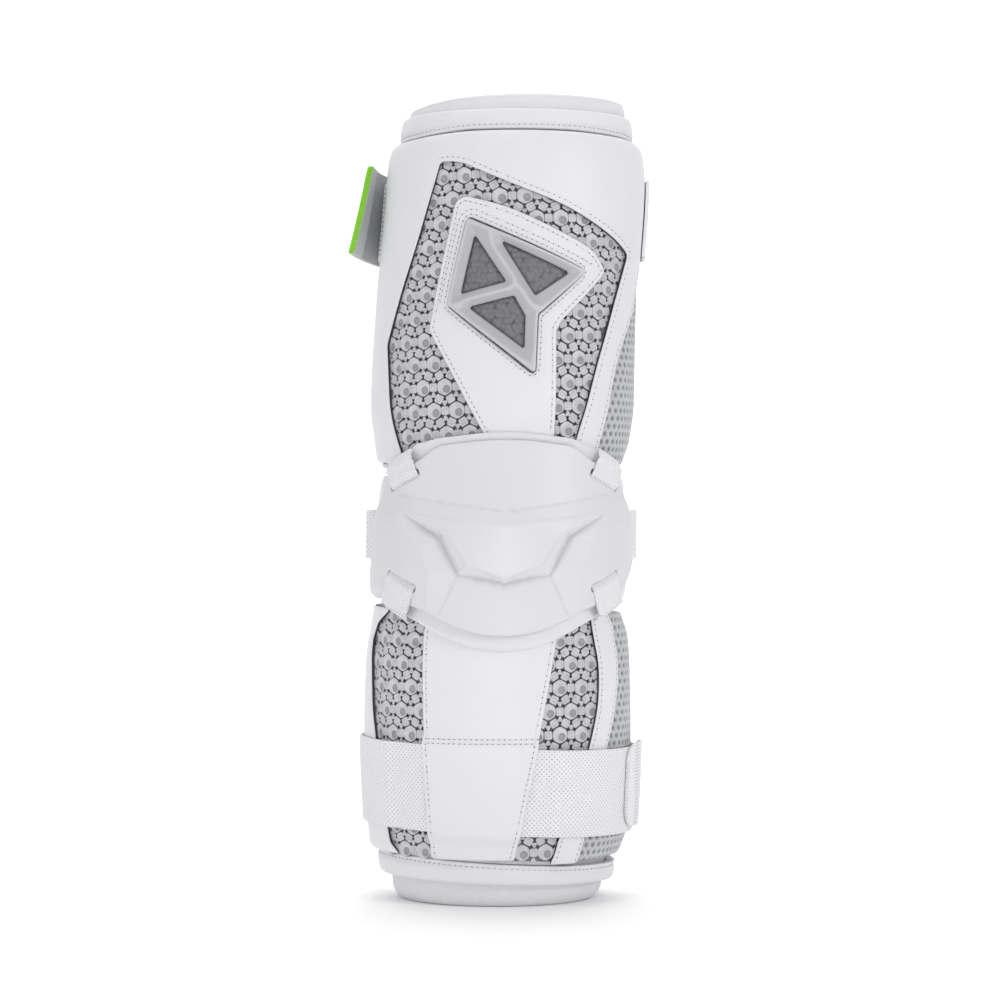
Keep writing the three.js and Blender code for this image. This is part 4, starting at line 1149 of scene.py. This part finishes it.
def build_covers():
    """The white leather pieces round the windows, with their seams."""
    sizes = bpy.context.scene.guard_sizes
    inset, gap = sizes.stitch_inset / MM, sizes.seam_gap / MM

    window = rounded(flat(BICEP_WINDOW), 3.0, closed=False)
    start = np.argmin(np.hypot(*(window - flat([COVER_CORNER])[0]).T))
    beside_gusset = rounded(flat(BICEP_COVER_EDGE[:6]), 5, closed=False)
    rows = [moved(window, inset, closed=False)[start:], moved(beside_gusset, inset, closed=False)]
    pressed = moved(window, 1.5, closed=False)[:start]
    sheet = Sheet(wound(np.vstack([window, rounded(flat(BICEP_COVER_EDGE), 5, closed=False)])))
    level = leather_level(sheet, seams=[*rows, pressed], seed=1.0)
    pucker = np.exp(-((sheet.points[:, 1] - PUCKER_UP * LENGTH) / PUCKER_REACH) ** 2)
    level = level + PUCKER_RISE * pucker * uneven(sheet.points * [1, 0.3], PUCKER_REACH, 7.0)
    from_top = np.interp(sheet.points[:, 0] / ARC, *np.array(COVER_TOP_LINE).T) * LENGTH
    roll = TOP_ROLL * edge_drop(np.maximum(0, from_top - sheet.points[:, 1]), TOP_ROLL_RADIUS)
    leather_piece("bicep_cover", "bicep_cover", sheet, level - roll,
                  ON_PAD - np.minimum(roll, TOP_ROLL_MOST), rows, COVER_PITCH)

    truss = wound(flat(TRUSS_EDGE), left=False)
    rows = [moved(rounded(wound(flat(KEEL_EDGE)), 5), inset), moved(rounded(truss, 3), gap)]
    rows = [np.vstack([row, row[:1]]) for row in rows]
    upper = rounded(flat([TRUSS_EDGE[k] for k in (0, 4, 3)]), 3, closed=False)
    rows.append(moved(upper, gap + OUTER_KEEL_SEAM, closed=False))
    hole = moved(wound(rounded(flat(TRUSS_EDGE), 2.0), left=False), GAP)
    sheet = Sheet(rounded(flat(KEEL_EDGE), 5), [hole], step=2.2)
    leather_piece("keel", "bicep_keel", sheet, leather_level(sheet, seams=rows, seed=2.0),
                  ON_PAD, rows, KEEL_PITCH)

    corners = hem(COVER_SIDE[0], FOREARM_COVER_INNER[0][0]) + FOREARM_COVER_INNER[1:] + [COVER_SIDE]
    band = FOREARM_BAND_OUTER + FOREARM_BAND_INNER
    rows = [moved(rounded(flat(side), 3, closed=False), -BAND_SEAM, closed=False)
            for side in (FOREARM_BAND_OUTER, FOREARM_BAND_INNER)]
    for name, outline, seams, seed in (
            ("forearm_cover", rounded(flat(corners), 4.5), [], 3.0),
            ("forearm_band", wound(rounded(flat(band), 2)), rows, 4.0)):
        sheet = Sheet(outline)
        leather_piece(name, name, sheet, leather_level(sheet, seams=seams, seed=seed),
                      ON_PAD, seams)


def build_tongue():
    """The white panel down the forearm, stepping over the strap."""
    inset = bpy.context.scene.guard_sizes.stitch_inset / MM
    top = TONGUE["top"] * LENGTH
    heights = np.array([TONGUE_FOOT, top])
    sides = [np.stack([tongue_side(side, heights) * ARC, heights], axis=1) for side in ("left", "right")]
    rows = [moved(evened(side, EDGE_STEP, closed=False), way * inset, closed=False)
            for side, way in zip(sides, (-1, 1))]
    for z in TONGUE["seams"]:
        ends = [tongue_side(side, np.array([z]))[0] * ARC for side in ("left", "right")]
        rows.append(evened([(ends[0] + inset, z), (ends[1] - inset, z)], EDGE_STEP, closed=False))
    middle, width, slope, _ = STRAPS["forearm_strap"]
    low, high, over = middle - width / 2, middle + width / 2, ON_PAD + WEBBING + GAP
    steps = [(TONGUE_FOOT, ON_PAD), (low - TONGUE["ramp"], ON_PAD), (low - GAP, over), (high + GAP, over),
             (high + TONGUE["ramp"], ON_PAD), (top, ON_PAD)]
    sheet = Sheet(rounded(np.vstack([sides[0], sides[1][::-1]]), 1.5), step=2.2)
    rise = eased(sheet.points[:, 1] - strap_rise(slope, sheet.points[:, 0] / ARC), steps)
    leather_piece("forearm_tongue", "forearm_tongue", sheet,
                  leather_level(sheet, LEATHER, rows, 5.0) + rise, rise, rows, cut="leather")


def build_truss():
    """The moulded frame on the upper arm, ridged along its struts, and the mesh behind it."""
    base = ON_PAD + MESH_THICKNESS + GAP
    edge = moved(wound(rounded(flat(TRUSS_EDGE), 2.0, step=0.6)), GAP)
    windows = [rounded(flat(window), 1.1, step=0.6) for window in TRUSS_WINDOWS]

    def from_windows(points):
        return np.sort([depth_in(points, w, np.roll(w, -1, 0)) for w in windows], axis=0)

    sheet = Sheet(edge, windows, step=0.6, rows=(0.2, 0.5))
    near, next_near, _ = from_windows(sheet.points)
    from_edge = depth_in(sheet.points, edge, np.roll(edge, -1, 0))
    ridge = np.minimum(near + from_edge - 0.6, (near + next_near) / 2)
    roof = np.clip(1.15 * near / np.maximum(ridge, 0.1), 0, 1)
    level = base + TRUSS_LIP + TRUSS_RIDGE * roof - edge_drop(sheet.depth, 0.5)
    # Painted shade on the struts' slopes; the ridges and outer bead stay light as painted highlights
    sheet_piece("truss_frame", sheet, level, base, ["truss"], ["truss_insert"],
                shade=0.45 * np.clip((1 - roof) / 0.12, 0, 1))

    sheet = Sheet(rounded(flat(TRUSS_EDGE), 2.0), step=0.6, rows=())
    low, high = sheet.points.min(axis=0), sheet.points.max(axis=0)
    across, up = np.meshgrid(np.arange(low[0], high[0], BUBBLE_ACROSS),
                             np.arange(low[1], high[1], BUBBLE_UP))
    across[::2] += BUBBLE_ACROSS / 2
    middles = np.stack([across.ravel(), up.ravel()], axis=1)
    middles += np.random.default_rng(4).uniform(-BUBBLE_ASIDE, BUBBLE_ASIDE, middles.shape)
    away = np.array([np.hypot(*(middles - place).T).min() for place in sheet.points])
    bubbles = np.sqrt(np.clip(1 - (away / BUBBLE_RADIUS) ** 2, 0, 1))
    level = ON_PAD + MESH_THICKNESS * (0.25 + 0.75 * bubbles)
    # Painted shade: between the bubbles, and along the windows' edges where the truss shades the mesh
    shade = (1 - bubbles) ** 1.2 + 0.9 * np.clip(1 - from_windows(sheet.points)[0] / 1.6, 0, 1)
    sheet_piece("truss_backing_mesh", sheet, level, ON_PAD, ["mesh"], ["truss_mesh"],
                shade=np.clip(shade, 0, 1))


def build_gusset(name, node, corners, shows):
    """A dimpled foam panel: thin under the covers, full beside them."""
    sizes = bpy.context.scene.guard_sizes
    pitch, depth = sizes.dimple_pitch / MM, sizes.dimple_depth / MM
    sheet = Sheet(rounded(flat(corners), 6), step=0.85, rows=(0.4, 0.8))
    x, y = sheet.points.T
    row = y / (pitch * ROW_SHARE)
    column = x / pitch + np.round(row) % 2 / 2
    away = pitch * np.hypot(column - np.round(column), (row - np.round(row)) * ROW_SHARE)
    dimple = eased(away / (DIMPLE_RADIUS * pitch), [(0.5, 1), (1.5, 0)])
    line = rounded(flat(shows), 5, closed=False)
    from_line = depth_in(sheet.points, line[:-1], line[1:])
    beyond = x / ARC > np.interp(y / LENGTH, *np.array(shows)[:, ::-1].T)
    crown = np.where(beyond, eased(from_line, [(0, 0), (2, 0), (14, 1)]), 0)
    crown = crown * eased(sheet.depth, [(0, 0), (12, 1)])
    level = PAD_TOP - 0.35 + crown * GUSSET_CROWN - edge_drop(sheet.depth, 2) - dimple * depth * beyond
    # The dimples get painted shade through the depth attribute
    made = sheet_piece(name + "_foam", sheet, level, ON_SLEEVE, ["foam"],
                       [node], shade=dimple)


def build_gussets():
    """The two dimpled side panels."""
    build_gusset("bicep_gusset", "bicep_gusset", BICEP_GUSSET, BICEP_GUSSET_SHOWS)
    front = [(turn + 1, up) for turn, up in FOREARM_SEAM]
    build_gusset("forearm_gusset", "forearm_gusset", front + FOREARM_GUSSET_BACK, FOREARM_BAND_OUTER[::-1])


def cap_place(name, side):
    """A corner of the cap in flat millimetres."""
    turn, up, _ = CAP_POINTS[name]
    return np.array([(CAP_TURN + side * turn) * ARC, CAP_BASE + up * CAP_HEIGHT])


def beside_slot(slot, side, along, away):
    """Flat places along a slot and away from it."""
    tilt = math.radians(slot["tilt"])
    across = along * math.cos(tilt) - away * slot["way"] * math.sin(tilt)
    up = along * math.sin(tilt) + away * slot["way"] * math.cos(tilt)
    return np.array([(CAP_TURN + side * slot["turn"]) * ARC + side * across,
                     CAP_BASE + slot["up"] * CAP_HEIGHT + up])


def cap_outline(radius=4.0):
    """The cap's rounded outline, both halves."""
    right = [cap_place(name, 1) for name in CAP_RIM]
    left = [cap_place(name, -1) for name in CAP_RIM[1:-1]]
    return rounded(right + left[::-1], radius)


def settled(levels, fixed, faces, rounds):
    """Free levels drawn to the mean of their neighbours, as a skin stretched on a wire."""
    sides = np.vstack([faces[:, pair] for pair in ([0, 1], [1, 2], [2, 0])])
    a, b = np.unique(np.sort(sides, axis=1), axis=0).T
    count = np.bincount(a, minlength=len(levels)) + np.bincount(b, minlength=len(levels))
    for _ in range(rounds):
        total = np.bincount(a, levels[b], len(levels)) + np.bincount(b, levels[a], len(levels))
        levels = np.where(fixed, levels, total / count)
    return levels


def cap_sheet():
    """The cap's flat grid, with its creases as edges, its levels and how hollow it is."""
    lines, heights = [], []
    for side in (1, -1):
        for crease in CAP_CREASES:
            for ends in zip(crease, crease[1:]):
                lines.append(evened([cap_place(name, side) for name in ends], EDGE_STEP, closed=False))
                rises = [CAP_POINTS[name][2] for name in ends]
                heights.append(np.linspace(*rises, len(lines[-1])) * CAP_BULGE)
    half, wide = LOOP_WIDTH / 2 + 1, SLOT_WIDTH / 2
    slots = [rounded([beside_slot(slot, side, u * half, v * wide)
                      for u, v in ((-1, -1), (1, -1), (1, 1), (-1, 1))], 1.6, step=0.8)
             for slot in CAP_SLOTS.values() for side in (1, -1)]
    outline = cap_outline()
    sheet = Sheet(outline, slots, step=1.5, rows=(0.25, 0.6, 1.1), lines=lines, beside=0.5)
    first_line = len(outline) + sum(len(slot) for slot in slots)
    given = np.concatenate(heights)
    rise, fixed = np.zeros(len(sheet.points)), np.zeros(len(sheet.points), bool)
    for i, sources in enumerate(sheet.sources):
        for source in sources:
            if source < len(outline):
                fixed[i], rise[i] = True, 0
            elif first_line <= source < first_line + len(given):
                fixed[i], rise[i] = True, given[source - first_line]
                break
    rise = settled(rise, fixed, sheet.faces, 1500)
    rim = sheet.depth < 0.1
    # Painted shade: darker where the cap lies below the mean of its neighbours, in its concave creases
    crease_shade = np.clip((settled(rise, rim, sheet.faces, 7) - rise) / 0.3 - 0.2, 0, 1)
    crease_shade = crease_shade * np.clip(sheet.depth / 3 - 0.3, 0, 1)
    return sheet, 0.7 * rise + 0.3 * settled(rise, rim, sheet.faces, 1), crease_shade


def swell(points):
    """How far the padding stands out beside the cap's lower corners."""
    turn, up = points[:, 0] / ARC, points[:, 1] / LENGTH
    sides = eased(-turn, [(73, 0), (84, 5.5)]) + eased(turn, [(74, 0), (86, 2)])
    return sides * eased(up, [(0.372, 0.5), (0.385, 1), (0.42, 0.9), (0.4275, 0)])


def build_elbow():
    """The elbow: padding, the soft flange, the moulded cap with its slots and the loops."""
    sheet = Sheet(rounded(flat(ELBOW_PAD_EDGE), 6), step=2.6, rows=(0.4, 1.0, 2.0))
    puff = eased(sheet.depth, [(0, -2.2), (4, -0.5), (10, 0)]) + swell(sheet.points)
    fold = 0.35 * uneven(sheet.points * [0.35, 1], 7, 11.0) * (np.abs(sheet.points[:, 0] / ARC) > 60)
    made = sheet_piece("elbow_padding", sheet, COVER_TOP + puff + fold, ON_SLEEVE, ["leather"],
                       ["elbow_pad"])

    outline = wound(cap_outline(6.0))
    turn, share = outline[:, 0] / ARC - CAP_TURN, (outline[:, 1] - CAP_BASE) / CAP_HEIGHT
    chin = eased(share, [(0.13, FLANGE_CHIN_MARGIN), (0.2, FLANGE_MARGIN)])
    shoulder = np.exp(-((np.abs(turn) - 39) / 7) ** 2) * eased(share, [(0.8, 0), (0.88, 1)])
    margin = chin + shoulder * np.where(turn < 0, *FLANGE_SHOULDERS)
    way = moved(outline, 1) - outline
    sheet = Sheet(rounded(outline - way * margin[:, None], 3), step=2.4, rows=(0.3, 0.8, 1.6, 2.6))
    profile = eased(sheet.depth, [(0, -1.1), (1.6, 0.45), (3.4, 0.1), (4.6, -0.35), (8, -0.4)])
    out = swell(sheet.points)
    made = sheet_piece("cap_flange_rim", sheet, FLANGE_TOP + profile + out, ON_COVER + out,
                       ["leather"], ["cap_flange"])

    sheet, rise, crease_shade = cap_sheet()
    outer = CAP_EDGE + rise - edge_drop(sheet.depth, 1.0)
    # The shell's concave creases get painted shade through the depth attribute
    sheet_piece("elbow_cap_shell", sheet, outer, CAP_EDGE + rise - CAP_WALL, ["shell"],
                ["elbow_cap"], shade=crease_shade)
    build_loops(sheet, rise)


def plate(name, flats, levels, across, thickness, look, replaces=(), shade=None):
    """A closed plate over flat places that stand in rows of so many across."""
    flats, levels = np.array(flats), np.array(levels)
    count = len(flats)
    grid = [(i + k, i + k + 1, i + across + k + 1, i + across + k)
            for i in range(0, count - across, across) for k in range(across - 1)]
    a, b, c = (flats[grid[0][k]] for k in range(3))
    if np.cross(b - a, c - a) < 0:
        grid = [face[::-1] for face in grid]
    sides = {(face[i], face[(i + 1) % 4]) for face in grid for i in range(4)}
    walls = [(b, a, a + count, b + count) for a, b in sides if (b, a) not in sides]
    points = np.vstack([placed(flats, levels + thickness), placed(flats, levels)])
    faces = [*grid, *(tuple(i + count for i in face[::-1]) for face in grid), *walls]
    return piece(name, points, faces, np.vstack([flats, flats]), [look], replaces, shade)


def build_loops(sheet, rise):
    """The elastic loops: out of a slot, over its bar and down to the flange."""
    surface = BVHTree.FromPolygons([(*p, r) for p, r in zip(sheet.points, rise)],
                                   [tuple(int(i) for i in face) for face in sheet.faces])
    columns = np.linspace(-LOOP_WIDTH / 2, LOOP_WIDTH / 2, 9)
    lip = SLOT_WIDTH / 2

    def cap_level(place):
        hit = surface.ray_cast(Vector((*place, 50)), Vector((0, 0, -1)))[0]
        return CAP_EDGE + (hit.z if hit is not None else 0)

    for label, slot in CAP_SLOTS.items():
        for side, hand in ((-1, "left"), (1, "right")):
            flats, levels = [], []
            for away in np.linspace(0.2 - lip, slot["reach"], 32):
                over = max(lip + 0.6, min(away, slot["bar"] - 1))
                lift = 0.45 + np.mean([cap_level(beside_slot(slot, side, along, over)) for along in columns])
                rows = [(0.2 - lip, lift - 1.7), (-0.2, lift - 0.8), (lip * 0.9, lift),
                        (slot["bar"] - 0.6, lift), (slot["bar"] + 1.2, CAP_EDGE + 0.9),
                        (slot["reach"], FLANGE_TOP + 0.9)]
                flats += [beside_slot(slot, side, along, away) for along in columns]
                levels += [eased(np.array([away]), rows)[0]] * len(columns)
            name = f"cap_loop_{label}_{hand}"
            made = plate(name + "_elastic", flats, levels, len(columns), LOOP_THICKNESS,
                         "loop", [name])
            if label == "lower":
                row = [beside_slot(slot, side, along, slot["reach"] - LOOP_SEAM) for along in columns]
                seam(name + "_seam", made, [evened(row, 1.0, closed=False)], LOOP_PITCH)


def strap_rise(slope, turn):
    """How far a sloping strap lies above its middle height at a turn."""
    return -slope * np.sin(np.radians(turn))


def build_straps():
    """The woven straps, laid at their rows' levels."""
    for name, (middle, width, slope, rows) in STRAPS.items():
        first, last = rows[0][0], rows[-1][0]
        closed = last - first >= 360
        end_piece = name == "forearm_strap_end"
        corner = (3 if end_piece else 1) * STRAP_CORNER
        turns = np.arange(first, last, 2.0)
        if not closed:
            ends = np.array([0, 0.03, 0.1, 0.27, 0.5, 0.8]) * corner
            between = np.arange(first + 0.8 * corner + 1, last - 0.8 * corner, 2.0)
            turns = np.concatenate([first + ends, between, last - ends[::-1]])

        def section(turn):
            level = eased(np.array([turn]), rows)[0]
            short = 0 if closed else max(0, 1 - min(turn - first, last - turn) * ARC / corner)
            half = width / 2 - corner * (1 - math.sqrt(1 - short * short))
            at = middle + strap_rise(slope, turn)
            return bar_section(at - half, at + half, level, level + WEBBING, 0.55)[::-1]

        swept_piece(name + "_webbing", turns, section, ["elastic" if end_piece else "webbing"],
                    [name], closed)


def tab_place(across, up, extra):
    """A place on the pull tab: flat millimetres and the level of its inside."""
    rise = TAB["rise"] * across * (1 + (TAB_TOP_SHARE["rise"] - 1) * up)
    level = ON_STRAP + TAB["flare"] * across * (1 + (TAB_TOP_SHARE["flare"] - 1) * up)
    turn = TAB["from"] + (TAB["to"] - TAB["from"]) * across + extra
    height = (TAB["low"] + (TAB["high"] - TAB["low"]) * up + rise) * LENGTH
    return np.array([turn * ARC, height]), level


def tab_piece(name, columns, extras, thickness, look, replaces=(), lift=0.0):
    """A piece of the pull tab: its columns across the tab, and how many degrees beyond each."""
    flats, levels, shade = [], [], []
    for up in np.linspace(0, 1, 24):
        for across, extra in zip(columns, extras):
            place, level = tab_place(across, up, extra)
            flats.append(place)
            levels.append(level + lift)
            # Painted shade: darkest across the middle, where the tab curves in, lighter at its ends
            shade.append(1 - min(1, abs(up - 0.45) / 0.42) ** 2)
    plate(name, flats, levels, len(columns), thickness, look, replaces, shade * 2)


def build_tab():
    """The pull tab on the bicep strap: fuzzy pile, a label strip and the green woven edge."""
    tab_piece("pull_tab_pile", np.linspace(0, 1, 16), np.zeros(16), TAB_THICKNESS, "pile",
              ["pull_tab"])
    tab_piece("pull_tab_label", np.linspace(0.66, 1, 5), np.zeros(5), 0.5, "label",
              lift=-0.55)
    tab_piece("tab_green_edging", np.ones(5), np.linspace(0.2, 3, 5), TAB_THICKNESS + 0.6, "edging",
              ["tab_edge"], -0.1)


def build_stage():
    """A pale floor that curves up behind the guard, soft light and the camera in front."""
    scene = bpy.context.scene
    curve = [(1.2 + 0.9 * math.sin(a), 0.9 - 0.9 * math.cos(a)) for a in np.linspace(0, math.pi / 2, 16)]
    profile = [(-1.3, 0), *curve, (2.1, 3.2)]
    points = [(x, y, z) for y, z in profile for x in (-3.2, 3.2)]
    faces = [(2 * i, 2 * i + 1, 2 * i + 3, 2 * i + 2) for i in range(len(profile) - 1)]
    mesh = bpy.data.meshes.new("floor")
    mesh.from_pydata(points, [], faces)
    mesh.shade_smooth()
    mesh.materials.append(finish("matt_white_paper", 0.9, 1.45, **{"Base Color": linear("#FFFFFF")})[0])
    floor = bpy.data.objects.new("floor", mesh)
    scene.collection.objects.link(floor)

    scene.world = bpy.data.worlds.new("soft_studio")
    scene.world.use_nodes = True
    background = scene.world.node_tree.nodes["Background"]
    background.inputs["Color"].default_value = (1, 1, 1, 1)
    background.inputs["Strength"].default_value = 0.57

    for name, (place, wide, power) in LIGHTS.items():
        light = bpy.data.lights.new(name, "AREA")
        light.shape, light.size, light.energy = "DISK", wide, power
        lamp = bpy.data.objects.new(name, light)
        lamp.location = place
        aim = Vector((0, 2.0, 0.4)) if name == "paper" else Vector((0, 0, LENGTH / 2 * MM))
        lamp.rotation_euler = (aim - Vector(place)).to_track_quat("-Z", "Y").to_euler()
        scene.collection.objects.link(lamp)

    camera = bpy.data.objects.new("camera", bpy.data.cameras.new("camera"))
    distance, width_seen = 1.4, 0.505
    camera.data.sensor_width = 36.0
    camera.data.lens = camera.data.sensor_width * distance / width_seen
    camera.data.clip_start = 0.05
    camera.location = (SHIFT[0] * MM, SHIFT[1] * MM - distance, LENGTH / 2 * MM)
    camera.rotation_euler = (math.pi / 2, 0, 0)
    scene.collection.objects.link(camera)
    scene.camera = camera
    scene.view_settings.view_transform = "Standard"
    scene.view_settings.look = "None"


def operator(name, label, about, build):
    """An operator class that builds one group of pieces."""
    def execute(self, context):
        build()
        return {"FINISHED"}

    return type("GUARD_OT_" + name, (bpy.types.Operator,), {
        "bl_idname": "guard." + name, "bl_label": label, "__doc__": about, "execute": execute})


# One for each group of pieces, in the order in which they are built
OPERATORS = [
    operator("stage", "Stage", "Make the floor, light and camera", build_stage),
    operator("sleeve", "Sleeve", "Make the knitted lining tube", build_sleeve),
    operator("rings", "End rings", "Make the padded bindings", build_rings),
    operator("pads", "Lattice pads", "Make the moulded pads", build_pads),
    operator("covers", "Covers", "Make the leather covers and seams", build_covers),
    operator("tongue", "Tongue", "Make the forearm panel", build_tongue),
    operator("truss", "Truss", "Make the moulded frame and mesh", build_truss),
    operator("gussets", "Gussets", "Make the dimpled side panels", build_gussets),
    operator("elbow", "Elbow", "Make the padding, flange, cap and loops", build_elbow),
    operator("straps", "Straps", "Make the woven straps", build_straps),
    operator("tab", "Pull tab", "Make the tab with its green edge", build_tab),
]


class GUARD_PT_panel(bpy.types.Panel):
    """Lists the guard's sizes, colours and pieces."""
    bl_idname = "GUARD_PT_panel"
    bl_label = "Arm guard"
    bl_space_type = "VIEW_3D"
    bl_region_type = "UI"
    bl_category = "Arm guard"

    def draw(self, context):
        for group in (context.scene.guard_sizes, context.scene.guard_colours):
            box = self.layout.box()
            for key in group.__annotations__:
                box.prop(group, key)
        for made in OPERATORS:
            self.layout.operator(made.bl_idname)


CLASSES = [GuardSizes, GuardColours, *OPERATORS, GUARD_PT_panel]


def register():
    for made in CLASSES:
        bpy.utils.register_class(made)
    bpy.types.Scene.guard_sizes = bpy.props.PointerProperty(type=GuardSizes)
    bpy.types.Scene.guard_colours = bpy.props.PointerProperty(type=GuardColours)


def unregister():
    del bpy.types.Scene.guard_sizes, bpy.types.Scene.guard_colours
    for made in reversed(CLASSES):
        bpy.utils.unregister_class(made)


def main():
    """Build the guard and write how large it came out beside its frame."""
    register()
    for made in OPERATORS:
        getattr(bpy.ops.guard, made.bl_idname.removeprefix("guard."))()


if __name__ == "__main__":
    main()
